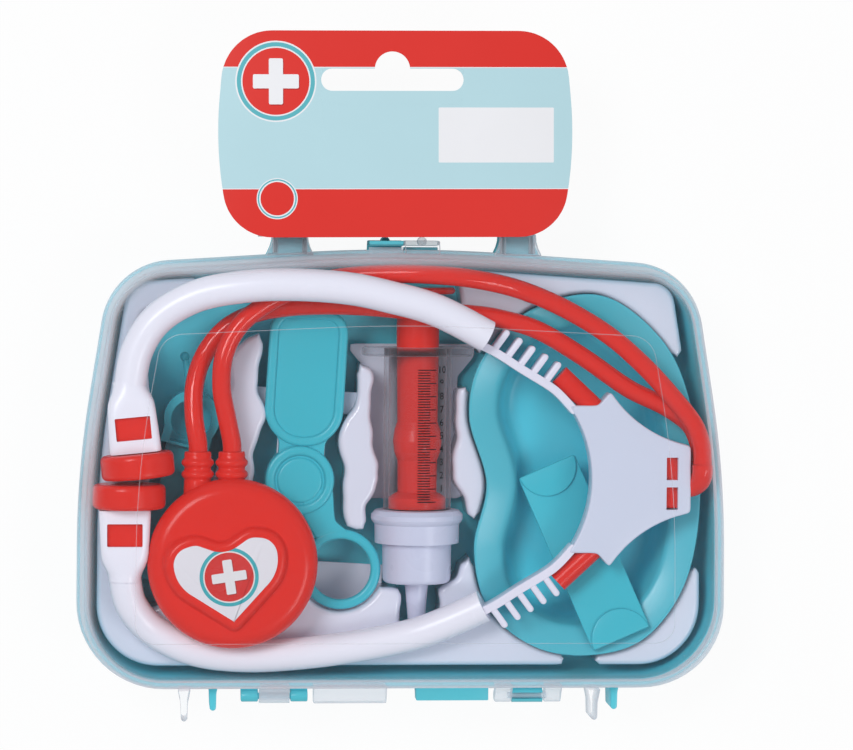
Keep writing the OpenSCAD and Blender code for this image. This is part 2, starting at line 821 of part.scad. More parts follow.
// Drum behind the head, with a shallow recess for the listening side
module chestpiece_back() {
    color(clear_red) place() translate([chest_at[0], chest_at[1], chest_z]) rotate_extrude($fn = 96) polygon(concat(
        [[0, 1.2], [drum_r - 5, 1.2], [drum_r - 4, 0]],
        corner_arc([0, 0], [drum_r, 0], [drum_r, drum_h], 1.6, 4),
        [[drum_r, drum_h], [0, drum_h]]
    ));
}

module heart_sticker() {
    color("white") place() translate([0, 0, heart_z + heart_rise]) linear_extrude(0.3)
        heart_place() polygon(heart_corners(2.6));
}

elbow_x = 92.7 * wide;
elbow_r = tube_d / 2 + 0.3;
elbow_top = 1.6;
elbow_z = [yoke_z + elbow_r, yoke_z + elbow_r + tube_d + 0.2];
// Routes of the two tubes, from the chest piece to the elbow
route_upper = across([
    [-52.6, -0.5, 27.8], [-52.6, 3.5, 27.8], [-52.6, 8, 27.8], [-54.2, 16, 28.4], [-55.8, 25, 29], [-55, 35, 29],
    [-50.4, 44, 28.6], [-42, 50.8, 27.6], [-32, 55.6, 26.4], [-20, 58.8, 26.6], [-6, 60.1, 29], [8, 60, 31.6],
    [22, 58.6, 30.4], [36, 55.4, 27.4], [50, 49.6, 26.6], [64, 41.2, 27], [75, 31.6, 28.4], [83.4, 22.4, 30],
    [89.6, 14.6, 30.8], [92.2, 8.4, 30.8], [92.7, 4.7, 30.8], [92.7, 1.7, 30.8]
]);
route_lower = across([
    [-63, -0.5, 27.8], [-63, 3.5, 27.8], [-63, 8, 27.8], [-64.2, 16, 27], [-64, 26, 25], [-60.6, 35.6, 22.6],
    [-54, 43.4, 21.8], [-45, 47.8, 21.8], [-35, 49.6, 22], [-24, 50.2, 23], [-12, 50, 25.2],
    [1, 49, 26.2], [12, 48.4, 25.8], [22, 47.6, 23.6], [30, 46.4, 23.8], [42, 42.8, 24.8], [56, 34.6, 24.8],
    [70, 25, 24.8], [81.6, 19.4, 24.8], [89.2, 14, 24.8], [92.1, 8.4, 24.8], [92.7, 4.7, 24.8], [92.7, 1.7, 24.8]
]);

module tube_upper() {
    color(clear_red) place() swept(open_curve(route_upper, 2), tube_d / 2, 8);
}

module tube_lower() {
    color(clear_red) place() swept(open_curve(route_lower, 2), tube_d / 2, 8);
}

// Moulded elbow that turns both tubes into the yoke
module tube_elbow() {
    leg = 10;
    low = elbow_top - leg;
    web = elbow_r - 0.6;
    color(clear_red) place() {
        for (z = elbow_z) along_y(elbow_x, z) polygon([
            [0, low], [elbow_r - 1.8, low], [elbow_r - 0.5, low + 0.7], [elbow_r, low + 2],
            [elbow_r, elbow_top], [0, elbow_top]
        ]);
        translate([elbow_x - web, low + 2.6, elbow_z[0]]) cube([2 * web, leg - 3.3, elbow_z[1] - elbow_z[0]]);
        translate([yoke_end - 2, low + 3.4, rod_z - 2.2]) cube([elbow_x - yoke_end + 2, leg - 5, 3.8]);
        translate([yoke_end - 9.8, yoke_mid - 9.1, rod_z - 2.9]) cube([9.4, 18.2, 4.8]);
    }
}

// --- syringe ------------------------------------------------------------------

barrel_r = barrel_d / 2;
bore_r = barrel_r - barrel_wall;

module syringe_barrel() {
    color(clear_plastic) place() {
        along_y(syringe_x, syringe_z) polygon([
            [bore_r, barrel_end], [barrel_r - 0.6, barrel_end], [barrel_r, barrel_end + 0.6],
            [barrel_r, barrel_top], [bore_r, barrel_top]
        ]);
        translate([syringe_x, barrel_top, syringe_z]) rotate([90, 0, 0]) difference() {
            intersection() {
                cylinder(d = flange_w, h = flange_t);
                translate([-flange_w / 2, -flange_depth / 2, 0]) cube([flange_w, flange_depth, flange_t]);
            }
            translate([0, 0, -1]) cylinder(r = bore_r + 0.2, h = flange_t + 2);
        }
    }
}

// Hollow shaft with a bulge, a piston at its foot and a thumb disc at its head
module syringe_plunger() {
    piston_y = barrel_end + 5.8;
    thumb_y = 55.8;
    shaft_r = shaft_d / 2;
    piston_r = bore_r - piston_play;
    bulge_y = 8;
    color(clear_red) place() difference() {
        along_y(syringe_x, syringe_z) polygon([
            [0, piston_y], [piston_r, piston_y], [piston_r, piston_y + 3.4],
            [piston_r - 1.4, piston_y + 4.4], [shaft_r - 0.5, piston_y + 5.2],
            [shaft_r - 0.4, bulge_y - 6], [shaft_r + 0.6, bulge_y - 3.4],
            [shaft_r + 1, bulge_y], [shaft_r + 0.6, bulge_y + 3.4],
            [shaft_r - 0.3, bulge_y + 6], [shaft_r, barrel_top], [shaft_r, thumb_y - 2],
            [thumb_d / 2 - 0.6, thumb_y - 2], [thumb_d / 2, thumb_y - 1.4],
            [thumb_d / 2, thumb_y - 0.6], [thumb_d / 2 - 0.6, thumb_y], [0, thumb_y]
        ]);
        translate([syringe_x, bulge_y, syringe_z]) for (a = [90, 270]) rotate([0, a - 90, 0])
            translate([0, 0, shaft_r]) cylinder(r = 2, h = 3);
    }
}

// White cap with its collar, body and nozzle
module syringe_cap() {
    r = cap_d / 2;
    body_r = barrel_r + 0.3;
    seat_r = barrel_r + 0.06;
    color(soft_white) place() along_y(syringe_x, syringe_z) polygon(concat(
        [[1.4, cap_top - 35.4], [2.6, cap_top - 35.4], [3.7, cap_top - 23], [body_r - 1.8, cap_top - 23]],
        corner_arc([0, cap_top - 23], [body_r - 0.2, cap_top - 23], [body_r, cap_top], 1.6, 4),
        [
            [body_r, cap_top - 10.6], [r - 1.2, cap_top - 10.4], [r - 1.1, cap_top - 4.6],
            [r - 0.4, cap_top - 3.8], [r, cap_top - 3], [r, cap_top - 1.6], [r - 1.2, cap_top - 0.3],
            [r - 2.6, cap_top], [seat_r, cap_top], [seat_r, barrel_end - 0.1],
            [1.4, barrel_end - 0.1]
        ]
    ));
}

// --- scissors -----------------------------------------------------------------

// Flat outline of one half, with its handle on the right
module scissor_outline() {
    half = blade_w / 2;
    polygon(outline([
        [half - 0.4, blade_l], [-half + 0.4, blade_l], [-half, 27], [-half + 1.8, 17],
        [-7.1, 11.8], [-7.1, 0], [7.1, 0], [7.1, 11.8], [half - 1.8, 17], [half, 27]
    ], [7, 7, 30, 6, 4, 0.4, 0.4, 4, 6, 30], 0, 4));
    circle(d = 21.4);
    polygon([[2, -3], [10.6, -1.6], [11.6, -12], [ring_at[0] + 2.4, ring_at[1] + ring_d / 2 - 1.2],
        [ring_at[0] - 8, ring_at[1] + ring_d / 2 - 3.4], [1.4, -10]]);
    translate(ring_at) circle(d = ring_d);
}

module ring_hole() {
    translate(ring_at) circle(d = ring_d - 2 * ring_band);
}

module scissor_place(z) {
    translate([pivot_at[0], pivot_at[1], z]) rotate(lean) children();
}

// Upper half, with a sunk panel, a raised pivot ring and the stud
module scissor_front() {
    half = blade_w / 2;
    color(teal) place() scissor_place(scissor_z + blade_t + 0.2) difference() {
        union() {
            linear_extrude(blade_t) difference() {
                scissor_outline();
                ring_hole();
            }
            translate([0, 0, -blade_t - 0.2]) cylinder(r = stud_r, h = blade_t + 1);
            translate([0, 0, blade_t - 0.2]) difference() {
                cylinder(d = 20.6, h = 0.9);
                translate([0, 0, -1]) cylinder(d = 15.4, h = 3);
            }
            cylinder(d = 13.8, h = blade_t + 0.3);
        }
        translate([0, 0, blade_t - 0.9]) linear_extrude(2) polygon(outline([
            [half - 3, blade_l - 3], [-half + 3, blade_l - 3], [-half + 3, 13.6], [half - 3, 13.6]
        ], [4, 4, 8.6, 8.6], 0, 6));
    }
}

module scissor_back() {
    color(teal) place() scissor_place(scissor_z) difference() {
        union() {
            mirror([1, 0, 0]) linear_extrude(blade_t) difference() {
                scissor_outline();
                ring_hole();
            }
            cylinder(d = 17, h = blade_t + 0.1);
        }
        translate([0, 0, -1]) cylinder(r = stud_r + 0.08, h = blade_t + 2);
    }
}

// --- spatula and otoscope -------------------------------------------------------

spatula_w = 19.2;
spatula_t = 1.6;
spatula_l = 58.6;
spatula_at = [69 * wide, -53.4];
pad_rise = 0.9;

// Flat strip with a raised half-round pad at each end
module spatula() {
    r = spatula_w / 2;
    color(teal) place() translate([spatula_at[0], spatula_at[1], dish_top + 0.4]) rotate([0, 0, 23.4]) rotate([-8, 0, 0]) {
        translate([-r, 0, 0]) cube([spatula_w, spatula_l, spatula_t]);
        for (y = [0, spatula_l]) translate([0, y, 0]) intersection() {
            cylinder(r = r - 0.2, h = spatula_t + pad_rise);
            translate([-r, y > 0 ? -r : 0, 0]) cube([spatula_w, r, spatula_t + 2 * pad_rise]);
        }
    }
}

oto_lean = -14.5;
oto_at = [-67 * wide, 6];
oto_l = 43;
grip_w = 8.8;
grip_t = 8.6;
collar_w = 11.2;
cup_d = 17.2;
cup_h = 12.4;

module oto_place() {
    translate([oto_at[0], oto_at[1], floor_z]) rotate(oto_lean) children();
}

// Slim handle with a collar where the head sits
module otoscope_handle() {
    color(teal) place() oto_place() {
        translate([-grip_w / 2, -oto_l, 0]) linear_extrude(grip_t) polygon(outline([
            [grip_w, 0], [grip_w, oto_l - 1], [0, oto_l - 1], [0, 0]
        ], [2, 1, 1, 2], 0, 4));
        translate([-collar_w / 2, -8, 0]) cube([collar_w, 8, grip_t + 1.4]);
    }
}

// Rounded hollow head with its ball-ended probe
module otoscope_head() {
    neck_w = cup_d - 2;
    probe_l = 11.6;
    ball_d = 3;
    color(teal) place() oto_place() {
        difference() {
            union() {
                translate([0, 9, 0]) cylinder(d = cup_d, h = cup_h);
                translate([-neck_w / 2, 0, 0]) cube([neck_w, 9, cup_h]);
            }
            translate([0, 8.6, 3]) cylinder(d = cup_d - 4.6, h = cup_h);
            translate([-5, 0.8, 5]) cube([10, 6, cup_h]);
        }
        translate([-1.6, 16.2, 8.4]) rotate([-90, 0, 26]) {
            cylinder(d1 = 3.6, d2 = 1.7, h = probe_l);
            translate([0, 0, probe_l + 0.4]) sphere(d = ball_d);
        }
    }
}

base_shell();
lid_shell();
tray();
header_card();
headset_frame();
neck_rod_upper();
neck_rod_lower();
ear_tip_upper();
ear_tip_lower();
chestpiece_front();
chestpiece_back();
heart_sticker();
tube_upper();
tube_lower();
tube_elbow();
syringe_barrel();
syringe_plunger();
syringe_cap();
scissor_front();
scissor_back();
kidney_dish();
spatula();
otoscope_handle();
otoscope_head();
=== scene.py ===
import math

import bmesh
import bpy
import numpy as np
from mathutils.geometry import delaunay_2d_cdt
from mathutils import Matrix, Vector


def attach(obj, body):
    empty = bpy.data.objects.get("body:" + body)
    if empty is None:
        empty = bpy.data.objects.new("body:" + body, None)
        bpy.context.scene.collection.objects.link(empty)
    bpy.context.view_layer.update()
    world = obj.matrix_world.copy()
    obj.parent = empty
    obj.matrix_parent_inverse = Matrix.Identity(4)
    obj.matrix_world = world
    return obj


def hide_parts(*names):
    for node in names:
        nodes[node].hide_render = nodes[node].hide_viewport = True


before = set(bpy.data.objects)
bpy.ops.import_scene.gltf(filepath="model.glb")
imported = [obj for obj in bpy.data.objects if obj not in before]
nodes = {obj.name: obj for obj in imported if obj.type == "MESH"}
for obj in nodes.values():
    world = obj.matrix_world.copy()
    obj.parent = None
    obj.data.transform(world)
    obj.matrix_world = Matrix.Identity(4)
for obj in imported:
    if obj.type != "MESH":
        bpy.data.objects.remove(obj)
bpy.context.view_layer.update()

# lengths below are millimetres from the middle of the case; y is shifted to the frame at the end
caseShift = -29.9
parting = 25.0
rimLevel = parting + 2.7  # top of the lid's rim bead


def unit(v):
    v = np.asarray(v, float)
    return v / np.linalg.norm(v)


def cornerArc(p, q, r, radius, steps):
    a, b = unit(p - q), unit(r - q)
    half = math.acos(max(-1.0, min(1.0, float(a @ b)))) / 2
    centre = q + unit(a + b) * radius / math.sin(half)
    reach = radius / math.tan(half)
    s, e = q + a * reach - centre, q + b * reach - centre
    start = math.atan2(s[1], s[0])
    sweep = (math.atan2(e[1], e[0]) - start + math.pi) % (2 * math.pi) - math.pi
    angles = [start + sweep * k / steps for k in range(steps + 1)]
    return [centre + radius * np.array([math.cos(w), math.sin(w)]) for w in angles]


def roundedLoop(corners, radii, inset=0.0, steps=8):
    corners = np.asarray(corners, float)
    n = len(corners)
    moved = []
    for i in range(n):
        a, b = unit(corners[i] - corners[i - 1]), unit(corners[(i + 1) % n] - corners[i])
        na, nb = np.array([-a[1], a[0]]), np.array([-b[1], b[0]])
        moved.append(corners[i] + (na + nb) * inset / (1 + na @ nb))
    loop = []
    for i in range(n):
        p, q, r = moved[i - 1], moved[i], moved[(i + 1) % n]
        d, e = q - p, r - q
        side = 1 if d[0] * e[1] - d[1] * e[0] > 0 else -1
        loop += cornerArc(p, q, r, max(radii[i] - side * inset, 0.3), steps)
    return np.array(loop)


def blendPoint(a, b, c, d, t):
    # a smooth way from b to c, with a and d as the points before and after
    return 0.5 * (2 * b + (c - a) * t + (2 * a - 5 * b + 4 * c - d) * t * t
                  + (3 * b - a - 3 * c + d) * t ** 3)


def smoothLoop(points, steps=8):
    p = np.asarray(points, float)
    n = len(p)
    return np.array([blendPoint(p[i - 1], p[i], p[(i + 1) % n], p[(i + 2) % n], k / steps)
                     for i in range(n) for k in range(steps)])


def smoothPath(points, steps=8):
    p = np.asarray(points, float)
    n = len(p)
    path = [blendPoint(p[max(i - 1, 0)], p[i], p[i + 1], p[min(i + 2, n - 1)], k / steps)
            for i in range(n - 1) for k in range(steps)]
    return np.array(path + [p[-1]])


def insetLoop(loop, d):
    t = np.roll(loop, -1, 0) - np.roll(loop, 1, 0)
    t = t / np.linalg.norm(t, axis=1)[:, None]
    moved = loop + d * np.stack([-t[:, 1], t[:, 0]], 1)
    for _ in range(12):
        # points that would cross over each other meet half way
        turned = ((np.roll(moved, -1, 0) - moved) * (np.roll(loop, -1, 0) - loop)).sum(1) < 0
        if not turned.any():
            break
        for i in np.where(turned)[0]:
            k = (i + 1) % len(moved)
            moved[i] = moved[k] = (moved[i] + moved[k]) / 2
    return moved


def circleLoop(centre, radius, sides=48):
    return np.array([[centre[0] + radius * math.cos(2 * math.pi * k / sides),
                      centre[1] + radius * math.sin(2 * math.pi * k / sides)] for k in range(sides)])


def pathLength(path):
    return float(np.linalg.norm(np.diff(path, axis=0), axis=1).sum())


class Shape:
    # collects closed skins, all in millimetres, and turns them into one piece
    def __init__(self, where=None):
        self.points = []
        self.faces = []
        self.where = where or Matrix.Identity(4)

    def rings(self, rings, caps=(True, True), place=None, closed=False):
        move = self.where @ place if place is not None else self.where
        rings = [np.array([move @ Vector(p) for p in r]) for r in rings]
        first, n, m = len(self.points), len(rings[0]), len(rings)
        for r in rings:
            self.points += [tuple(p) for p in r]
        for j in range(m if closed else m - 1):
            for i in range(n):
                k = (i + 1) % n
                a, b = first + j * n, first + (j + 1) % m * n
                self.faces.append((a + i, a + k, b + k, b + i))
        if caps[0] and not closed:
            self.faces.append(tuple(first + i for i in reversed(range(n))))
        if caps[1] and not closed:
            self.faces.append(tuple(first + (m - 1) * n + i for i in range(n)))
        return self

    def slab(self, loop, z0, z1, edge=0.4, place=None, topEdge=None):
        # plate with rounded edges
        top = edge if topEdge is None else topEdge
        levels = [(edge, z0), (0.3 * edge, z0 + 0.3 * edge), (0, z0 + edge),
                  (0, z1 - top), (0.12 * top, z1 - 0.5 * top), (0.5 * top, z1 - 0.12 * top), (top, z1)]
        return self.rings([withHeight(insetLoop(loop, d), z) for d, z in levels], place=place)

    def plate(self, loop, holes, z0, z1, edge=0.3):
        # flat plate with holes right through it
        levels = [(edge, z0), (0.3 * edge, z0 + 0.3 * edge), (0, z0 + edge), (0, z1 - edge),
                  (0.12 * edge, z1 - 0.5 * edge), (0.5 * edge, z1 - 0.12 * edge), (edge, z1)]
        start = len(self.points)
        self.rings([withHeight(insetLoop(loop, d), z) for d, z in levels], (False, False))
        low, high = [start], [start + (len(levels) - 1) * len(loop)]
        for hole in holes:
            low.append(len(self.points))
            high.append(len(self.points) + len(hole))
            self.rings([withHeight(hole, z0), withHeight(hole, z1)], (False, False))
        for starts in (low, high):
            points, outlines, index = [], [], []
            for first, flat in zip(starts, [insetLoop(loop, edge)] + list(holes)):
                outlines.append(list(range(len(points), len(points) + len(flat))))
                points += [Vector(p) for p in flat]
                index += range(first, first + len(flat))
            _, _, tris, origins, _, sources = delaunay_2d_cdt(points, [], outlines, 1, 1e-5, True)
            self.faces += [tuple(index[origins[i][0]] for i in t) for t, source in zip(tris, sources)
                           if list(source) == [0] and all(origins[i] for i in t)]
        return self

    def band(self, loop, levels, place=None):
        # frame that follows a loop; levels go once round its section
        return self.rings([withHeight(insetLoop(loop, d), z) for d, z in levels], place=place, closed=True)

    def turned(self, profile, place, sides=72, closed=False):
        # profile of (radius, height) about z, then moved by place
        rings = [[(r * math.cos(2 * math.pi * k / sides), r * math.sin(2 * math.pi * k / sides), h)
                  for k in range(sides)] for r, h in profile]
        return self.rings(rings, place=place, closed=closed)

    def tube(self, path, radii, sides=24, squash=1.0):
        path = np.asarray(path, float)
        n = len(path)
        radii = [radii] * n if np.isscalar(radii) else radii
        rings = []
        for i in range(n):
            t = unit(path[min(i + 1, n - 1)] - path[max(i - 1, 0)])
            u = unit(np.cross([0, 0, 1], t))
            v = np.cross(t, u)
            rings.append([path[i] + radii[i] * (math.cos(w) * u + squash * math.sin(w) * v)
                          for w in (2 * math.pi * (k + 0.5) / sides for k in range(sides))])
        return self.rings(rings)

    def alongFlat(self, path, section):
        # a section of (sideways, height) drawn along a flat path
        path = np.asarray(path, float)
        n = len(path)
        rings = []
        for i in range(n):
            t = unit(path[min(i + 1, n - 1)] - path[max(i - 1, 0)])
            side = np.array([-t[1], t[0]])
            rings.append([(*(path[i] + s * side), z) for s, z in section])
        return self.rings(rings)

    def alongX(self, profile, x0, x1, edge=0.25):
        # a profile of (y, z), drawn out along x
        return self.slab(evenLoop(profile, 0.35), x0, x1, edge, toX)

    def block(self, low, high, edge=0.3, place=None):
        loop = roundedLoop([(low[0], low[1]), (high[0], low[1]), (high[0], high[1]), (low[0], high[1])],
                           [edge * 1.01 + 0.05] * 4, 0, 3)
        return self.slab(loop, low[2], high[2], edge, place)

    def mesh(self, name):
        mesh = bpy.data.meshes.new(name)
        points = np.array(self.points, float)
        points[:, 1] += caseShift
        mesh.from_pydata([tuple(p) for p in points * 0.001], [], self.faces)
        tidy = bmesh.new()
        tidy.from_mesh(mesh)
        bmesh.ops.recalc_face_normals(tidy, faces=tidy.faces)
        bmesh.ops.triangulate(tidy, faces=[f for f in tidy.faces if len(f.verts) > 4])
        tidy.to_mesh(mesh)
        tidy.free()
        return mesh

    def cutter(self):
        return bpy.data.objects.new("cutter", self.mesh("cutter"))

    def piece(self, name, paint, body, stands=(), angle=40, slot=None):
        return showPiece(bpy.data.objects.new(name, self.mesh(name)), paint, body, stands, angle)


toX = Matrix(((0, 0, 1, 0), (1, 0, 0, 0), (0, 1, 0, 0), (0, 0, 0, 1)))


def evenLoop(loop, step=0.5, soften=0):
    # closed outline with points at even steps, its corners worn round
    loop = np.asarray(loop, float)
    ends = np.vstack([loop, loop[:1]])
    lengths = np.concatenate([[0], np.cumsum(np.linalg.norm(np.diff(ends, axis=0), axis=1))])
    n = max(12, int(lengths[-1] / step))
    at = np.linspace(0, lengths[-1], n, endpoint=False)
    even = np.column_stack([np.interp(at, lengths, ends[:, k]) for k in range(2)])
    if np.sum(even[:, 0] * np.roll(even[:, 1], -1) - np.roll(even[:, 0], -1) * even[:, 1]) < 0:
        even = even[::-1]
    for _ in range(soften):
        even = (np.roll(even, 1, 0) + 2 * even + np.roll(even, -1, 0)) / 4
    return even


def withHeight(loop, z):
    return np.column_stack([loop, np.full(len(loop), float(z))])


def showPiece(piece, paint, body, stands=(), angle=40):
    bpy.context.scene.collection.objects.link(piece)
    piece.data.materials.append(paint.material)
    if piece.type == "MESH":
        piece.data.shade_smooth()
        piece.data.set_sharp_from_angle(angle=math.radians(angle))
    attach(piece, body)
    if stands:
        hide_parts(*stands)
    return piece


def shift(x, y, z):
    return Matrix.Translation((x, y, z))


def turn(angle, axis):
    return Matrix.Rotation(math.radians(angle), 4, axis)


class Wire:
    # a shader socket that takes part in Python sums
    def __init__(self, paint, socket):
        self.paint = paint
        self.socket = socket

    def sum(self, how, *values):
        return self.paint.node("ShaderNodeMath", {"operation": how}, dict(enumerate(values)))

    def __add__(self, other):
        return self.sum("ADD", self, other)

    def __radd__(self, other):
        return self.sum("ADD", other, self)

    def __sub__(self, other):
        return self.sum("SUBTRACT", self, other)

    def __rsub__(self, other):
        return self.sum("SUBTRACT", other, self)

    def __mul__(self, other):
        return self.sum("MULTIPLY", self, other)

    def __rmul__(self, other):
        return self.sum("MULTIPLY", other, self)

    def __pow__(self, other):
        return self.sum("POWER", self, other)

    def __abs__(self):
        return self.sum("ABSOLUTE", self)

    def most(self, other):
        return self.sum("MAXIMUM", self, other)

    def root(self):
        return self.sum("SQRT", self)

    def below(self, edge, blur=0.02):
        # 1 under the edge, 0 over it, with a short blend
        return self.paint.node("ShaderNodeMapRange", {"interpolation_type": "SMOOTHSTEP"},
                               {"Value": self, "From Min": edge - blur, "From Max": edge + blur,
                                "To Min": 1.0, "To Max": 0.0})


class Paint:
    def __init__(self, name):
        self.material = bpy.data.materials.new(name)
        self.material.use_nodes = True
        self.tree = self.material.node_tree
        self.tree.nodes.clear()

    def node(self, kind, settings, values, out=0):
        made = self.tree.nodes.new(kind)
        for key, value in settings.items():
            setattr(made, key, value)
        for key, value in values.items():
            if isinstance(value, Wire):
                self.tree.links.new(value.socket, made.inputs[key])
            elif value is not None:
                made.inputs[key].default_value = value
        return Wire(self, made.outputs[out]) if made.outputs else None

    def at(self):
        # place on the piece, in metres of the shared frame
        return self.node("ShaderNodeTexCoord", {}, {}, "Object")

    def place(self):
        # millimetres from the middle of the case, and height above the table
        split = self.node("ShaderNodeSeparateXYZ", {}, {0: self.at()})
        x, y, z = (Wire(self, split.socket.node.outputs[k]) for k in range(3))
        return x * 1000.0, y * 1000.0 - caseShift, z * 1000.0

    def noise(self, scale, detail=2.0, roughness=0.5):
        return self.node("ShaderNodeTexNoise", {}, {"Vector": self.at(), "Scale": scale, "Detail": detail,
                                                    "Roughness": roughness}, "Fac")

    def mix(self, share, a, b):
        return self.node("ShaderNodeMix", {"data_type": "RGBA"},
                         {0: share, 6: colourValue(a), 7: colourValue(b)}, 2)

    def bump(self, height, strength, distance):
        return self.node("ShaderNodeBump", {}, {"Height": height, "Strength": strength, "Distance": distance})

    def gloss(self, values):
        return self.node("ShaderNodeBsdfPrincipled", {}, values)

    def done(self, shader):
        self.node("ShaderNodeOutputMaterial", {}, {"Surface": shader})
        return self


def colourValue(c):
    return c if isinstance(c, Wire) else (*c, 1.0)


def printed(r, g, b):
    # screen colour to the shader's linear one
    shares = [v / 255 for v in (r, g, b)]
    return tuple(v / 12.92 if v <= 0.04045 else ((v + 0.055) / 1.055) ** 2.4 for v in shares)


view = {
    "distance": 1150.0,     # from the rim's plane
    "lean": (-0.075, 0.045),  # how far the camera stands to the left and towards the handle
    "aim": (7.4, 28.9),     # point of the rim's plane in the middle of the picture
    "mmPerPixel": 0.3086,
    "roll": 0.35,
    "width": 853,           # of the picture, in pixels
    "sensor": 36.0,
}


def framePoint(x, y, z):
    return Vector((x, y + caseShift, z)) * 0.001


def makeCamera(s):
    data = bpy.data.cameras.new("camera")
    camera = bpy.data.objects.new("camera", data)
    bpy.context.scene.collection.objects.link(camera)
    back = Vector((s["lean"][0], s["lean"][1], 1.0)).normalized()
    aim = framePoint(s["aim"][0], s["aim"][1], parting)
    camera.location = aim + back * s["distance"] * 0.001
    right = Vector((0, 1, 0)).cross(back).normalized()
    up = back.cross(right)
    camera.matrix_world = Matrix.Translation(camera.location) @ Matrix((
        (right.x, up.x, back.x, 0), (right.y, up.y, back.y, 0), (right.z, up.z, back.z, 0), (0, 0, 0, 1)
    )) @ turn(s["roll"], "Z")
    data.sensor_fit = "HORIZONTAL"
    data.sensor_width = s["sensor"]
    data.lens = s["sensor"] * s["distance"] / (s["width"] * s["mmPerPixel"])
    data.clip_start, data.clip_end = 0.05, 20.0
    bpy.context.scene.camera = camera


makeCamera(view)
print("camera: ready")

studio = {
    "floorSize": 6.0,
    "floorShade": (0.86, 0.86, 0.87),
    "floorGlow": 0.94,        # share of plain white that the camera sees in the floor
    "worldShade": (0.93, 0.95, 1.0),
    "worldStrength": 0.45,
    "lamps": [                # name, place, size and power
        ("keyLamp", (-0.55, 0.4, 1.1), 0.55, 6.8),
        ("sideLamp", (0.62, -0.4, 1.0), 0.5, 3.2),
    ],
    "lampsAim": (0, -0.02, 0.02),
}


def makeStudio(s):
    scene = bpy.context.scene
    scene.view_settings.view_transform = "Standard"
    world = bpy.data.worlds.new("studio")
    scene.world = world
    world.use_nodes = True
    tree = world.node_tree
    tree.nodes.clear()
    path = tree.nodes.new("ShaderNodeLightPath")
    mix = tree.nodes.new("ShaderNodeMixShader")
    soft = tree.nodes.new("ShaderNodeBackground")
    plain = tree.nodes.new("ShaderNodeBackground")
    end = tree.nodes.new("ShaderNodeOutputWorld")
    soft.inputs["Color"].default_value = (*s["worldShade"], 1.0)
    soft.inputs["Strength"].default_value = s["worldStrength"]
    plain.inputs["Color"].default_value = (1, 1, 1, 1)
    plain.inputs["Strength"].default_value = 1.0
    tree.links.new(path.outputs["Is Camera Ray"], mix.inputs[0])
    tree.links.new(soft.outputs[0], mix.inputs[1])
    tree.links.new(plain.outputs[0], mix.inputs[2])
    tree.links.new(mix.outputs[0], end.inputs[0])

    floor = Paint("floorPaper")
    path = floor.node("ShaderNodeLightPath", {}, {}, "Is Camera Ray")
    paper = floor.gloss({"Base Color": (*s["floorShade"], 1.0), "Roughness": 0.9, "Specular IOR Level": 0.1})
    glow = floor.node("ShaderNodeEmission", {}, {"Color": (1, 1, 1, 1), "Strength": 1.0})
    floor.done(floor.node("ShaderNodeMixShader", {}, {0: path * s["floorGlow"], 1: paper, 2: glow}))
    mesh = bpy.data.meshes.new("floor")
    half = s["floorSize"] / 2
    corners = [(-half, -half, 0), (half, -half, 0), (half, half, 0), (-half, half, 0)]
    mesh.from_pydata(corners, [], [(0, 1, 2, 3)])
    ground = bpy.data.objects.new("floor", mesh)
    mesh.materials.append(floor.material)
    bpy.context.scene.collection.objects.link(ground)
    ground.location.z = -0.0004

    for name, place, size, power in s["lamps"]:
        lamp = bpy.data.lights.new(name, "AREA")
        lamp.shape = "RECTANGLE"
        lamp.size, lamp.size_y = size, size * 0.7
        lamp.energy = power
        holder = bpy.data.objects.new(name, lamp)
        holder.location = place
        holder.rotation_mode = "QUATERNION"
        holder.rotation_quaternion = (Vector(place) - Vector(s["lampsAim"])).to_track_quat("Z", "Y")
        bpy.context.scene.collection.objects.link(holder)


makeStudio(studio)
print("studio: floor and lamps ready")


def mouldedPaint(name, colour, rough=0.24, dapple=0.04, coat=0.0, grain=260.0, depth=0.00002, shine=0.4):
    # gloss plastic with slight flow shading, a little dullness in patches and a faint moulded grain
    paint = Paint(name)
    flow = paint.noise(24.0, 3.0)
    fine = paint.noise(grain, 2.0)
    darker = tuple(c * (1 - dapple) for c in colour)
    paler = tuple(min(1.0, c * (1 + dapple)) for c in colour)
    dull = paint.noise(70.0, 2.0) * 0.08 + (rough - 0.04)
    paint.done(paint.gloss({
        "Base Color": paint.mix(flow, darker, paler), "Roughness": dull, "IOR": 1.5,
        "Specular IOR Level": shine, "Coat Weight": coat, "Coat Roughness": 0.08,
        "Normal": paint.bump(fine, 0.35, depth),
    }))
    return paint


def clearPaint(name, tint, body=0.02, edge=0.9, power=3.0, rim=0.0, rough=0.06, shadow=0.15):
    # clear plastic: seen through from the front, pale where it turns away, with little shadow
    paint = Paint(name)
    facing = paint.node("ShaderNodeLayerWeight", {}, {"Blend": 0.5}, "Facing")
    path = paint.node("ShaderNodeLightPath", {}, {}, "Is Shadow Ray")
    indirect = paint.node("ShaderNodeLightPath", {}, {}, "Is Diffuse Ray")
    skin = paint.gloss({"Base Color": (*tint, 1.0), "Roughness": rough, "IOR": 1.5,
                        "Normal": paint.bump(paint.noise(60.0, 2.0), 0.15, 0.00005)})
    haze = paint.node("ShaderNodeBsdfTranslucent", {}, {"Color": (*tint, 1.0)})
    milk = paint.node("ShaderNodeMixShader", {}, {0: 0.4, 1: skin, 2: haze})
    through = paint.node("ShaderNodeBsdfTransparent", {}, {"Color": (0.985, 0.992, 1.0, 1.0)})
    pale = (paint.place()[2].below(rimLevel, 0.3) * rim).most((facing ** power) * edge + body)
    share = pale * (1.0 - path.most(indirect) * (1.0 - shadow))
    paint.done(paint.node("ShaderNodeMixShader", {}, {0: share, 1: through, 2: milk}))
    return paint


tealColour = printed(64, 190, 206)
redColour = printed(230, 40, 26)
whiteColour = printed(236, 232, 245)


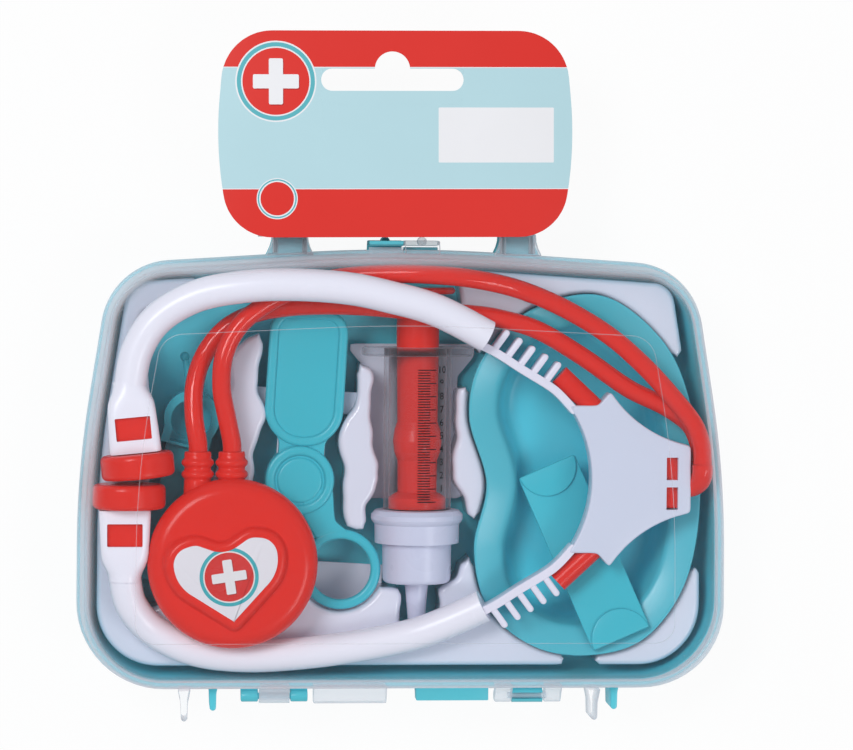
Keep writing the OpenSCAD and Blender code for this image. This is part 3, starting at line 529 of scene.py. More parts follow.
def depthLitPaint(name, colour, pale, high, depth):
    # plastic painted paler below a height, a painted light that keeps its deeper parts as bright as the lit
    # top
    paint = Paint(name)
    z = paint.place()[2]
    shade = paint.mix(z.below(high, depth), colour, pale)
    shade = paint.mix(paint.noise(24.0, 3.0) * 0.08, shade, (1.0, 1.0, 1.0))
    paint.done(paint.gloss({
        "Base Color": shade, "Roughness": paint.noise(70.0, 2.0) * 0.08 + 0.2, "IOR": 1.5,
        "Specular IOR Level": 0.4, "Normal": paint.bump(paint.noise(260.0, 2.0), 0.3, 0.00002),
    }))
    return paint


# painted light: the base shell's deeper parts and the dish's bowl are painted paler towards the bottom, in
# place of the shade there
tealShell = depthLitPaint("tealShell", printed(74, 200, 215), printed(90, 224, 240), 20.0, 4.0)
dishPlastic = depthLitPaint("dishPlastic", printed(60, 186, 203), printed(66, 214, 234), 12.0, 5.0)
tealPlastic = mouldedPaint("tealPlastic", tealColour, 0.3)
redPlastic = mouldedPaint("redPlastic", redColour, 0.22, shine=0.22)
redTube = mouldedPaint("redTube", redColour, 0.1, shine=0.35)
capPlastic = mouldedPaint("capPlastic", printed(210, 212, 232), 0.28, 0.02)
whitePlastic = mouldedPaint("whitePlastic", whiteColour, 0.26, 0.02)
armPlastic = mouldedPaint("armPlastic", printed(246, 243, 252), 0.26, 0.01)
yokePlastic = mouldedPaint("yokePlastic", printed(214, 218, 234), 0.3, 0.02)
traySheet = mouldedPaint("traySheet", printed(228, 229, 242), 0.12, 0.02, 0.3, 60.0, 0.0004)
clearLid = clearPaint("clearLid", (0.95, 0.955, 1.0), 0.015, 0.95, 2.0, 0.5)
clearBarrel = clearPaint("clearBarrel", (0.8, 0.81, 0.88), 0.02, 0.6, 2.6)
print("finishes: mixed")


tubes = {
    "width": 5.8,
    "upper": [
        (-52.6, -0.5, 27.8), (-52.6, 3.5, 27.8), (-52.6, 8, 27.8), (-54.2, 16, 28.4), (-55.8, 25, 29),
        (-55, 35, 29), (-50.4, 44, 28.6), (-42, 50.8, 27.6), (-32, 55.6, 26.4), (-20, 58.8, 26.6),
        (-6, 60.1, 29), (8, 60, 31.6), (22, 58.6, 30.4), (36, 55.4, 27.4), (50, 49.6, 26.6), (64, 41.2, 27),
        (75, 31.6, 28.4), (83.4, 22.4, 30), (89.6, 14.6, 30.8), (92.2, 8.4, 30.8), (92.7, 4.7, 30.8),
        (92.7, 1.7, 30.8),
    ],
    "lower": [
        (-63, -0.5, 27.8), (-63, 3.5, 27.8), (-63, 8, 27.8), (-64.2, 16, 27), (-64, 26, 25),
        (-60.6, 35.6, 22.6), (-54, 43.4, 21.8), (-45, 47.8, 21.8), (-35, 49.6, 22), (-24, 50.2, 23),
        (-12, 50, 25.2), (1, 49, 26.2), (12, 48.4, 25.8), (22, 47.6, 23.6), (30, 46.4, 23.8),
        (42, 42.8, 24.8), (56, 34.6, 24.8), (70, 25, 24.8), (81.6, 19.4, 24.8), (89.2, 14, 24.8),
        (92.1, 8.4, 24.8), (92.7, 4.7, 24.8), (92.7, 1.7, 24.8),
    ],
}


def makeTube(name, route, stands):
    path = smoothPath(route, 6)
    curve = bpy.data.curves.new(name, "CURVE")
    curve.dimensions = "3D"
    curve.bevel_depth = tubes["width"] / 2 * 0.001
    curve.bevel_resolution = 6
    curve.use_fill_caps = True
    spline = curve.splines.new("POLY")
    spline.points.add(len(path) - 1)
    for point, p in zip(spline.points, path):
        point.co = (*framePoint(*p), 1.0)
    spline.use_smooth = True
    piece = showPiece(bpy.data.objects.new(name, curve), redTube, "base", [stands])
    framePoint(*route[0])
    pathLength(path) * 0.001


makeTube("softTubeUpper", tubes["upper"], "tube_upper")
makeTube("softTubeLower", tubes["lower"], "tube_lower")
print("tubes: laid")


caseSize = {
    "width": 200.0, "length": 136.0, "depth": 25.0, "wall": 1.6, "panelRise": 1.6, "taper": 10.3,
    "cornerTop": 22.0, "cornerBottom": 27.0, "panelSide": 18.4,
    "postX": 35.0, "postWidth": 10.4, "handleHeight": 33.0, "handleThick": 7.0,
    "hingeX": 39.2, "hingeOut": 2.4, "hookWidth": 9.4, "earWidth": 5.3, "tongueWidth": 10.6,
    "feetX": (67.1, -58), "footReach": 7.7, "restPlateX": (4.8, 27.3),
}
rimTop = caseSize["length"] / 2
rimBottom = -rimTop
rootY = rimBottom + 1.6
hingeY = rimBottom - caseSize["hingeOut"]
halfWidth = caseSize["width"] / 2
faceZ = -(caseSize["depth"] - caseSize["panelRise"])


def mirrored(points):
    # left half of an outline, from its middle top round to its bottom corner, with its right half
    return points + [(-x, y) for x, y in reversed(points[1:])]


rimCorners = mirrored([(0, rimTop + 0.6), (-(halfWidth - caseSize["taper"]), rimTop - 5.2),
                       (-(halfWidth - 0.2), 0), (-(halfWidth + 0.2), rimBottom)])
rimRadii = [500, caseSize["cornerTop"], 300, caseSize["cornerBottom"],
            caseSize["cornerBottom"], 300, caseSize["cornerTop"]]
panelTop, panelBottom = rimTop - 22.6, rimBottom + 16.4
panelHalf = halfWidth - caseSize["panelSide"]
panelCorners = mirrored([(0, panelTop), (-(panelHalf - caseSize["taper"] + 3), panelTop - 3.6),
                         (-panelHalf, 0), (-(panelHalf + 0.4), panelBottom)])
panelRadii = [500, 8, 300, 6, 6, 300, 8]


def rimRing(inset, z):
    return withHeight(roundedLoop(rimCorners, rimRadii, inset, 14), z)


def panelRing(inset, z):
    return withHeight(roundedLoop(panelCorners, panelRadii, inset, 14), z)


def shellSkin(shape):
    # one closed skin: out over the face and wall, round the rim and back inside
    wall = caseSize["wall"]
    back = -caseSize["depth"]
    outer = [(7.0, faceZ), (5.4, faceZ + 0.5), (4.0, faceZ + 1.4), (3.0, faceZ + 2.8), (2.4, faceZ + 4.5),
             (1.95, faceZ + 7), (1.6, faceZ + 9.4), (1.2, -8), (0.85, -2.9)]
    bead = [(0.45, -2.65), (0.1, -2.25), (0, -1.9), (0, -0.4), (0.3, -0.1), (2.1, -0.1), (2.4, -0.4)]
    rings = [panelRing(0.7, back), panelRing(0.35, back + 0.06), panelRing(0.12, back + 0.25),
             panelRing(0.02, back + 0.6), panelRing(0, faceZ - 0.15), panelRing(-0.15, faceZ)]
    rings += [rimRing(d, z) for d, z in outer + bead]
    rings += [rimRing(d + wall, z + wall) for d, z in reversed(outer)]
    rings += [panelRing(-0.6, faceZ + wall), panelRing(wall + 1.6, back + wall)]
    shape.rings(rings)


def arcPoints(centre, radius, start, end, steps=16):
    return [(centre[0] + radius * math.cos(math.radians(start + (end - start) * k / steps)),
             centre[1] + radius * math.sin(math.radians(start + (end - start) * k / steps)))
            for k in range(steps + 1)]


def shellTrim(shape):
    # hinges, foot ribs, rest plate and latch
    ear, hook = caseSize["earWidth"], caseSize["hookWidth"]
    earProfile = [(rootY, -0.4)] + arcPoints((hingeY, 0), 1.8, -12, 180) + [(hingeY - 1.8, -2.4), (rootY, -8)]
    span = hook / 2 + 0.3
    for x0 in (-caseSize["hingeX"] - span - ear, -caseSize["hingeX"] + span):
        shape.alongX(earProfile, x0, x0 + ear, 0.4)
    shape.turned([(0.05, -span - 1), (1.0, -span - 1), (1.0, span + 1), (0.05, span + 1)],
                 shift(-caseSize["hingeX"], hingeY, 0) @ turn(90, "Y"), 24)
    hookX = caseSize["hingeX"]
    gripProfile = arcPoints((hingeY, 0), 2.2, 64, -244, 30) + arcPoints((hingeY, 0), 1.06, 148, 392, 24)
    shape.slab(np.array(gripProfile), hookX - hook / 2, hookX + hook / 2, 0.12, toX)
    hookRoot = [(hingeY + 1.4, -0.4), (rootY, -0.4), (rootY, -7), (hingeY - 1.2, -1.9), (hingeY + 0.2, -1.2)]
    shape.alongX(hookRoot, hookX - hook / 2 + 0.1, hookX + hook / 2 - 0.1, 0.3)
    for x in caseSize["feetX"]:
        tip = rimBottom - caseSize["footReach"] + 1
        loop = [(x - 1.9, rootY), (x - 1.1, rimBottom - 2.4)] + \
            [(x + u, tip + v) for u, v in arcPoints((0, 0), 1.0, 180, 360, 10)] + \
            [(x + 1.1, rimBottom - 2.4), (x + 1.9, rootY)]
        shape.slab(evenLoop(loop, 0.4), -19, -5, 0.35)
    plateY = rimBottom - 4.1
    shape.alongX([(plateY, -0.4), (rootY, -0.4), (rootY, -10), (plateY, -5.5)], *caseSize["restPlateX"], 0.4)
    tongue = caseSize["tongueWidth"]
    mid = -tongue / 2 - 0.2
    outY = rimTop + 0.9
    root = rimTop - 1.9
    shape.alongX([(root, -4.5), (outY, -4.5), (outY, 3.6), (outY - 0.3, 3.9), (outY, 4.3), (outY, 4.6),
                  (outY + 0.5, 5.2), (outY + 1.4, 5.2), (outY + 1.4, -7), (root, -10)],
                 mid - tongue / 2, mid + tongue / 2, 0.35)
    button = [(0.05, -5), (1.4, -5), (1.4, -1.2), (1.1, -0.8), (0.05, -0.8)]
    shape.turned(button, shift(mid, outY + 1.2, 0), 24)
    shape.alongX([(root, -3.8), (rimTop + 0.3, -3.2), (rimTop + 0.3, -2.4), (root, -2.4)],
                 -mid - tongue / 2, -mid + tongue / 2, 0.15)


def shellHandle(shape):
    # half of the handle: a channel that opens to the other half
    half, thick, skin = caseSize["postWidth"] / 2, caseSize["handleThick"], 1.4
    side, top, bend = caseSize["postX"], rimTop + caseSize["handleHeight"] - half, 8.0
    path = [(-side, rimTop - 1.6), (-side, rimTop + 4), (-side, top - bend)]
    path += arcPoints((-side + bend, top - bend), bend, 180, 90, 10)[1:]
    path += arcPoints((side - bend, top - bend), bend, 90, 0, 10)
    path += [(side, rimTop + 4), (side, rimTop - 1.6)]
    inner = half - skin
    section = [(-half, -0.5), (-half, -thick + 0.9), (-half + 0.3, -thick + 0.3), (-half + 0.9, -thick),
               (half - 0.9, -thick), (half - 0.3, -thick + 0.3), (half, -thick + 0.9), (half, -0.5),
               (inner, -0.5), (inner, -thick + skin), (-inner, -thick + skin), (-inner, -0.5)]
    shape.alongFlat(path, section)
    for x in (-side, side):
        flare = [(-7.2, rimTop - 2.2), (7.2, rimTop - 2.2), (6.0, rimTop + 0.4), (5.5, rimTop + 2.2),
                 (5.35, rimTop + 4.4), (-5.35, rimTop + 4.4), (-5.5, rimTop + 2.2), (-6.0, rimTop + 0.4)]
        shape.slab(evenLoop([(x + u, v) for u, v in flare], 0.4), -thick + 0.1, -0.5, 0.4)


def makeShell(prefix, where, paint, body, stands):
    skin = Shape(where)
    shellSkin(skin)
    skin.piece(prefix + "Wall", paint, body, [stands], 60)
    trim = Shape(where)
    shellTrim(trim)
    trim.piece(prefix + "HingesAndFeet", paint, body, [stands], 40)
    handle = Shape(where)
    shellHandle(handle)
    handle.piece(prefix + "Handle", paint, body, [stands], 40)


makeShell("base", shift(0, 0, parting), tealShell, "base", "base_shell")
makeShell("lid", shift(0, 0, parting) @ turn(180, "Y"), clearLid, "lid", "lid_shell")
print("case: both shells made")


def roundMask(x, y, centre, radius, blur=0.06):
    return (((x - centre[0]) ** 2 + (y - centre[1]) ** 2).root()).below(radius, blur)


def boxMask(x, y, centre, halfWidth, halfHeight, corner=0.5, blur=0.06):
    # rounded rectangle
    u = (abs(x - centre[0]) - (halfWidth - corner)).most(0.0)
    v = (abs(y - centre[1]) - (halfHeight - corner)).most(0.0)
    return ((u ** 2 + v ** 2).root()).below(corner, blur)


def crossMask(x, y, centre, reach, half, corner=0.5):
    return boxMask(x, y, centre, reach, half, corner).most(boxMask(x, y, centre, half, reach, corner))


def turnedPlace(x, y, centre, angle):
    # place in a print that is turned about its centre
    c, n = math.cos(math.radians(angle)), math.sin(math.radians(angle))
    dx, dy = x - centre[0], y - centre[1]
    return dx * c + dy * n, dy * c - dx * n


cardPrint = {
    "red": printed(229, 52, 44), "blue": printed(190, 225, 232), "white": printed(246, 246, 248),
    "ring": printed(96, 186, 196), "shade": printed(170, 36, 34),
    "middle": (-3.0, 102.8), "lean": 0.42, "width": 109.6, "top": 134.4, "low": 71.4,
    "face": 32.3, "thick": 0.5, "bareBelow": 32.25, "board": printed(226, 224, 220),
    "slot": (-4.0, 119.45, 36.8, 6.8, 5.4),  # its middle, straight length, height and the knob's radius
    "tab": 42.0,
    "bandTop": 123.1, "bandLow": 86.3, "bandLine": 0.22,
    "badge": (-39.6, 118.9), "badgeRings": (12.35, 11.9, 10.6, 10.2), "badgeCross": (7.0, 2.15),
    "dot": (-39.3, 83.2), "dotRings": (6.25, 5.95, 5.5, 5.1),
    "panel": (27.8, 102.6, 17.7, 8.4),
}


def badge(paint, x, y, s, centre, sizes, cross, colour):
    # white edge, ring, white line, disc and a cross with its small shadow
    for size, tone in zip(sizes, ("white", "ring", "white", "red")):
        colour = paint.mix(roundMask(x, y, centre, size), colour, s[tone])
    if cross:
        u, v = x - centre[0], y - centre[1]
        colour = paint.mix(crossMask(u, v, (0.3, -0.35), *cross, 0.6) * 0.75, colour, s["shade"])
        colour = paint.mix(crossMask(u, v, (0, 0), *cross, 0.5), colour, s["white"])
    return colour


def makeCardPaint(s):
    paint = Paint("printedCard")
    across, along, z = paint.place()
    x, y = turnedPlace(across, along, s["middle"], s["lean"])
    x, y = x + s["middle"][0], y + s["middle"][1]
    band = y.below(s["bandTop"], 0.06) * (1 - y.below(s["bandLow"], 0.06))
    edge = s["bandLine"]
    line = y.below(s["bandTop"] + edge, 0.05) * (1 - y.below(s["bandLow"] - edge, 0.05))
    colour = paint.mix(line, s["red"], s["white"])
    colour = paint.mix(band, colour, s["blue"])
    colour = badge(paint, x, y, s, s["badge"], s["badgeRings"], s["badgeCross"], colour)
    colour = badge(paint, x, y, s, s["dot"], s["dotRings"], None, colour)
    px, py, halfWide, halfHigh = s["panel"]
    colour = paint.mix(boxMask(x, y, (px, py), halfWide, halfHigh, 0.3), colour, s["white"])
    colour = paint.mix(z.below(s["bareBelow"], 0.02), colour, s["board"])
    worn = paint.noise(30.0, 3.0) * 0.06 + 0.94
    colour = paint.node("ShaderNodeVectorMath", {"operation": "SCALE"}, {0: colour, "Scale": worn})
    paint.done(paint.gloss({"Base Color": colour, "Roughness": paint.noise(90.0, 2.0) * 0.1 + 0.4,
                            "Specular IOR Level": 0.25,
                            "Normal": paint.bump(paint.noise(900.0, 2.0), 0.1, 0.00002)}))
    return paint


heartPrint = {
    "centre": (-53.5, -32.2), "lean": 8.7, "paper": (printed(228, 222, 226), printed(236, 232, 236)),
    "discs": [(9.0, printed(60, 170, 178)), (7.9, printed(236, 226, 222)), (7.5, printed(214, 42, 36))],
    "cross": (5.3, 1.45), "crossColour": printed(232, 228, 228),
    "shadow": (5.35, 1.5), "shadowAt": (0.25, -0.25), "shadowColour": printed(150, 24, 24),
}


def makeHeartPaint(s):
    paint = Paint("printedHeart")
    x, y, _ = paint.place()
    colour = paint.mix(paint.noise(40.0, 2.0), *s["paper"])
    for size, tone in s["discs"]:
        colour = paint.mix(roundMask(x, y, s["centre"], size), colour, tone)
    u, v = turnedPlace(x, y, s["centre"], s["lean"])
    colour = paint.mix(crossMask(u, v, s["shadowAt"], *s["shadow"], 0.5) * 0.75, colour, s["shadowColour"])
    colour = paint.mix(crossMask(u, v, (0, 0), *s["cross"], 0.4), colour, s["crossColour"])
    paint.done(paint.gloss({"Base Color": colour, "Roughness": paint.noise(60.0, 2.0) * 0.1 + 0.22,
                            "Normal": paint.bump(paint.noise(500.0, 2.0), 0.1, 0.00002)}))
    return paint


def cutPiece(piece, cutters):
    # takes the cutters' space out of a piece and drops them
    for number, cutter in enumerate(cutters):
        bpy.context.scene.collection.objects.link(cutter)
        cut = piece.modifiers.new("cut%d" % number, "BOOLEAN")
        cut.operation = "DIFFERENCE"
        cut.solver = "EXACT"
        cut.object = cutter
    ready = piece.evaluated_get(bpy.context.evaluated_depsgraph_get())
    mesh = bpy.data.meshes.new_from_object(ready)
    piece.modifiers.clear()
    old, piece.data = piece.data, mesh
    bpy.data.meshes.remove(old)
    for cutter in cutters:
        bpy.data.objects.remove(cutter)
    mesh.shade_smooth()
    mesh.set_sharp_from_angle(angle=math.radians(40))


def makeCard(s):
    # board with its hang slot, folded over the lid's handle
    half, low, top = s["width"] / 2, s["low"], s["top"]
    x0, y0 = s["middle"]
    place = shift(x0, y0, 0) @ turn(s["lean"], "Z") @ shift(-x0, -y0, 0)
    outline = roundedLoop([(x0 + half - 3, top), (x0 - half + 3, top), (x0 - half - 0.2, low + 29),
                           (x0 - half + 4, low), (x0 + half - 4, low), (x0 + half + 0.2, low + 29)],
                          [15.5, 15.5, 120, 15, 15, 120], 0, 14)
    board = Shape(place)
    board.slab(evenLoop(outline, 1.0), s["face"], s["face"] + s["thick"], 0.05)
    piece = board.piece("headerCard", printedCard, "lid", ["header_card"], 30)
    sx, sy, length, high, knob = s["slot"]
    slot = np.array(arcPoints((sx + length / 2, sy), high / 2, -90, 90, 20)
                    + arcPoints((sx - length / 2, sy), high / 2, 90, 270, 20))
    hole = Shape(place)
    hole.slab(slot, s["face"] - 1, s["face"] + 2, 0.01)
    bump = Shape(place)
    bump.slab(circleLoop((sx, sy + high / 2 - 0.2), knob, 60), s["face"] - 1, s["face"] + 2, 0.01)
    cutPiece(piece, [hole.cutter(), bump.cutter()])
    fold = Shape(place)
    end, bar = s["low"] + 0.2, caseSize["handleHeight"] + rimTop + 1.6
    back = parting - s["thick"] / 2
    front = back + s["thick"]
    strip = [(end, back), (bar + 0.4, back), (top - 1.2, s["face"] - s["thick"]),
             (top - 1.2, s["face"] + 0.02), (bar, front), (end, front)]
    left, right = sx - length / 2 - high, sx + length / 2 + high
    fold.alongX(strip, x0 - s["tab"], left, 0.05)
    fold.alongX(strip, right, x0 + s["tab"], 0.05)
    fold.alongX([(end, back), (sy - 4.2, back), (sy - 4.2, front), (end, front)], left, right, 0.05)
    fold.piece("cardTab", printedCard, "lid", ["header_card"], 30)


printedCard = makeCardPaint(cardPrint)
printedHeart = makeHeartPaint(heartPrint)
makeCard(cardPrint)
print("print: card and heart label")


dish = {
    "points": [
        (21, 16), (26.6, -5), (22.8, -25), (27.5, -44), (42, -56), (60, -58.6), (77, -53),
        (89.5, -35), (93.6, -8), (90.2, 20), (81, 40), (62, 53.6), (40, 49), (25, 34),
    ],
    "lip": 8.0, "thick": 1.4, "floor": 3.5, "top": 21.3,
}
dishLoop = smoothLoop(dish["points"], 12)


def makeDish(s):
    lip, thick, floor, top = s["lip"], s["thick"], s["floor"], s["top"]
    lipLow = top - 2.8
    levels = [
        (lip + 6.4, floor), (lip + 5.2, floor), (lip + 4.2, floor + 0.4), (lip + 3.5, floor + 1.2),
        (lip + 0.8, lipLow - thick), (lip - 0.2, lipLow - thick + 0.5), (lip - 1.6, lipLow - thick + 0.9),
        (0.6, top - thick), (0.15, top - thick + 0.15), (0, top - thick + 0.5), (0.02, top - 0.4),
        (0.12, top - 0.12), (0.4, top), (1.0, top - 0.12), (lip - 0.9, lipLow + 0.55), (lip, lipLow + 0.2),
        (lip + 0.8, lipLow - 0.3), (lip + 1.4, lipLow - 1.1), (lip + 3.0, floor + 6.5),
        (lip + 4.3, floor + thick + 1.6), (lip + 5.2, floor + thick + 0.6),
        (lip + 6.6, floor + thick + 0.12), (lip + 9, floor + thick),
    ]
    shape = Shape()
    shape.rings([withHeight(insetLoop(dishLoop, d), z) for d, z in levels])
    shape.piece("kidneyDish", dishPlastic, "base", ["kidney_dish"], 75)


makeDish(dish)
print("dish: made")


# the scissors' sizes stand here, because the tray's pocket is made from them too
scissors = {
    "pivot": (-31.3, -4.2), "lean": -3.4, "low": 12.1, "half": 3.1, "gap": 0.2,
    "bladeWidth": 24.4, "bladeLength": 53.0, "ring": (14.4, -26.9), "ringWidth": 25.0, "ringBand": 3.1,
}

tray = {
    "land": 18.0, "floor": 4.0, "inset": 7.8, "grow": 1.3, "sheet": 0.8,
    "wave": 0.45, "ripple": 0.2, "wavePoints": 22,  # how far the pockets' edges wander, and how often
    "ringRoom": ((-1, 3.5), (1, 1.2)),              # side of each finger ring and the room round it
    "lip": [(0, 0), (0.25, -0.04), (0.55, -0.2), (0.8, -0.5), (0.95, -0.95), (1.0, -1.6), (1.2, -14)],
    "cornerRadii": [500, 15, 300, 25, 25, 300, 13],
    "shelfGap": 0.3, "shelf": 1.0,
}
syringePocket = ([
    (18, 62), (-14.5, 62), (-14.5, 36), (-8.6, 29), (-9, 8), (-6.3, 1), (-6.3, -4), (-10.6, -12),
    (-9.4, -25), (-6.4, -36.4), (0.2, -38.6), (0.2, -51), (11.6, -51), (12, -38), (18, -35),
    (21.8, -16), (16.6, -4), (16.4, 2), (18, 28), (23.1, 34.2), (23.1, 38.6), (19, 44),
], [3, 3, 6, 6, 6, 3, 3, 5, 8, 4, 2, 3, 3, 2, 4, 8, 4, 6, 6, 0.6, 2, 4])
scissorPocket = ([
    (14.6, 62), (-14.4, 62), (-14.4, 27), (-11.6, 19), (-14.6, 6), (-14.6, -26),
    (14.6, -26), (14.6, -12), (13.4, 2), (11, 14), (16.2, 28),
], [3, 3, 10, 6, 10, 1, 1, 3, 10, 8, 8])
otoscopePocket = ([
    (-44, 62), (-84, 46), (-78, 30), (-75.4, 3), (-87, -33), (-82.5, -43),
    (-70, -43), (-55.8, 3), (-53, 34), (-44, 44),
], [3, 8, 12, 20, 4, 4, 10, 20, 10, 4])


def leaned(loop, s=scissors):
    # outline about the scissors' pivot, turned as they lie
    c, n = math.cos(math.radians(s["lean"])), math.sin(math.radians(s["lean"]))
    loop = np.asarray(loop)
    return np.column_stack([s["pivot"][0] + c * loop[:, 0] - n * loop[:, 1],
                            s["pivot"][1] + n * loop[:, 0] + c * loop[:, 1]])


def trayPockets(grow):
    loops = [roundedLoop(*syringePocket, -grow, 8), leaned(roundedLoop(*scissorPocket, -grow, 8)),
             roundedLoop(*otoscopePocket, -grow, 8), insetLoop(dishLoop, -0.5 - grow)]
    ringX, ringY = scissors["ring"]
    for sign, room in tray["ringRoom"]:
        loops.append(leaned(circleLoop((sign * ringX, ringY), scissors["ringWidth"] / 2 + room + grow)))
    return loops


def makeTray(s):
    # the land is what the pockets leave of the outline; each edge gets a lip and a wall
    loops = [roundedLoop(rimCorners, s["cornerRadii"], s["inset"], 14)] + trayPockets(s["grow"])
    loops = [evenLoop(loop, 0.9) for loop in loops]
    for i in (1, 2, 3):
        along = np.arange(len(loops[i]))[:, None] * 2 * math.pi / len(loops[i])
        count = round(len(loops[i]) / s["wavePoints"])
        waves = s["wave"] * (1 + np.sin(along * count)) + s["ripple"] * (1 + np.sin(along * (2 * count + 1)))
        loops[i] = insetLoop(loops[i], -waves)
    points, faces = [], []
    for loop in loops:
        faces.append(list(range(len(points), len(points) + len(loop))))
        points += [Vector(p) for p in loop]
    flat, _, tris, _, _, source = delaunay_2d_cdt(points, [], faces, 1, 1e-4, True)
    land = [t for t, ids in zip(tris, source) if list(ids) == [0]]
    flat = np.array([tuple(p) for p in flat])
    edges = {}
    for t in land:
        for i in range(3):
            edges[(t[i], t[(i + 1) % 3])] = True
    border = {a: b for a, b in edges if (b, a) not in edges}
    vertices = [(x, y, s["land"]) for x, y in flat]
    polygons = [tuple(t) for t in land]
    while border:
        start, here = next(iter(border.items()))
        chain = [start]
        del border[start]
        while here != start:
            chain.append(here)
            here = border.pop(here)
        loop = flat[chain]
        normal = -(insetLoop(loop, 1.0) - loop)
        rings = [list(chain)]
        for d, drop in s["lip"][1:]:
            rings.append(list(range(len(vertices), len(vertices) + len(chain))))
            vertices += [(*(p + d * n), s["land"] + drop) for p, n in zip(loop, normal)]
        for upper, lower in zip(rings, rings[1:]):
            for i in range(len(chain)):
                k = (i + 1) % len(chain)
                polygons.append((upper[i], lower[i], lower[k], upper[k]))
    used = sorted({i for face in polygons for i in face})
    index = {old: new for new, old in enumerate(used)}
    mesh = bpy.data.meshes.new("formedTray")
    mesh.from_pydata([tuple(v * 0.001 for v in (vertices[i][0], vertices[i][1] + caseShift, vertices[i][2]))
                      for i in used], [], [tuple(index[i] for i in face) for face in polygons])
    piece = showPiece(bpy.data.objects.new("formedTray", mesh), traySheet, "base", ["tray"], 65)
    sheet = piece.modifiers.new("sheet", "SOLIDIFY")
    sheet.thickness = s["sheet"] * 0.001
    sheet.offset = 1.0


def makeShelves(s):
    # ledges that the scissors and the syringe lie on
    supports = Shape()
    level = scissors["low"] - s["shelfGap"] - s["shelf"]
    place = shift(*scissors["pivot"], 0) @ turn(scissors["lean"], "Z")
    supports.block((-7.5, -8, level), (7.5, 57, level + s["shelf"]), 0.3, place)
    supports.block((-16, 21, level), (18, 28, level + 0.9), 0.3, place)
    for y in (-8, 47):
        supports.block((-7.4, y, s["floor"]), (7.4, y + 1, level + 0.5), 0.2, place)
    ringY = scissors["ring"][1]
    supports.block((0.4, ringY - 15, 4.5), (28.4, ringY + 1, 5.5), 0.3, place)
    under = [(-14.5, 37), (-14.5, 36), (-8.6, 29), (-9, 8), (-6.3, 1), (-6.3, -4), (-9, -10), (19.6, -10),
             (16.6, -4), (16.4, 2), (18, 28), (23.1, 34.2), (23.1, 37)]
    ledge = evenLoop(insetLoop(evenLoop(under, 1.0), -0.8), 0.8)
    supports.slab(ledge, s["floor"] + 0.2, s["floor"] + 1.0, 0.2)
    supports.piece("trayShelves", traySheet, "base", ["tray"])


makeTray(tray)
makeShelves(tray)
print("tray: made")


headset = {
    "armWidth": 10.0, "combHeight": 7.6, "rodHeight": 26.5,
    "upperArm": [
        (-84, 24, 29.6), (-81.8, 36, 30), (-75.5, 46, 31), (-64, 53, 32.4), (-50, 56, 34),
        (-35, 56.8, 34.8), (-18, 55.8, 35), (-4, 53, 34.6), (10, 49, 34.2), (25.4, 41.2, 32.1),
    ],
    "lowerArm": [
        (-85.4, -31.4, 29.6), (-83.4, -41.6, 27), (-76.4, -50.2, 24), (-64, -56.3, 23.2), (-48, -58.3, 23.2),
        (-30, -57.4, 23.2), (-12, -55, 23.2), (4, -51.6, 23.6), (15, -47.4, 25), (25.4, -42.4, 27),
    ],
    "upperHousing": (-82, 5.2, 29.6, 5.6), "lowerHousing": (-85.2, -12.4, 29.6, 0.0),
    "housingWidth": 15.0, "housingThick": 11.4,
    "housing": [             # distance from the mouth, width, thickness and how square it is
        (0, 15.4, 11.4, 7), (0.4, 15.9, 11.4, 7), (4, 15.6, 11.4, 7), (9, 15.1, 11.4, 7),
        (13, 14.7, 11.4, 6), (15.4, 14.1, 11.2, 4.6), (17.4, 12.6, 10.8, 3.4),
        (19, 11, 10.4, 2.6), (20.5, 10.2, 10.1, 2.1), (22, 10.0, 10.0, 2.0),
    ],
    "combEdge": [(20.8, 38.3), (28.2, 34.7), (35.6, 30), (43.9, 25), (47.6, 22.1), (52.4, 16.8)],
    "fingers": [(27.6, 36.4), (43.6, 26.6)],
    "yokeLow": 21.6, "yokeThick": 9.0, "yokeMiddle": -3.0, "yokeEnd": 89.2, "windowsY": (0.3, -8.9),
}


def makeHousing(name, place, s):
    # rounded box at the mouth that draws in to the round arm
    rings = []
    for y, width, thick, power in s["housing"]:
        ring = []
        for k in range(48):
            w = 2 * math.pi * (k + 0.5) / 48
            c, n = math.cos(w), math.sin(w)
            reach = (abs(c) ** power + abs(n) ** power) ** (-1 / power)
            ring.append((width / 2 * reach * c, y, thick / 2 * reach * n))
        rings.append(ring)
    shape = Shape(place)
    shape.rings(rings)
    piece = shape.piece(name, armPlastic, "base", ["headset_frame"], 50, "white_plastic")
    half, thick = s["housingWidth"] / 2 - 1.5, s["housingThick"] / 2 - 1.5
    cutPiece(piece, [Shape(place).block((-half, -1, -thick), (half, 14, thick)).cutter(),
                     Shape(place).block((-5.4, 4, 0), (5.4, 11, s["housingThick"])).cutter()])


def yokeOutline(s):
    middle, end = s["yokeMiddle"], s["yokeEnd"]

    def sideArc(sign):
        centre = (96, middle + sign * 48)
        steps = [64.1 + (end - 64.1) * k / 14 for k in range(15)]
        return [(x, centre[1] - sign * math.sqrt(38.2 ** 2 - (96 - x) ** 2)) for x in steps]
    reach = math.degrees(math.asin(22.8 / 39.6))
    left = arcPoints((18.8, middle), 39.6, reach, -reach, 24)
    top = list(reversed(sideArc(1))) + [(64.0, middle + 27.2), (60.3, middle + 22.8)]
    bottom = [(60.3, middle - 22.8), (64.0, middle - 27.2)] + sideArc(-1)
    return np.array(top + left + bottom)


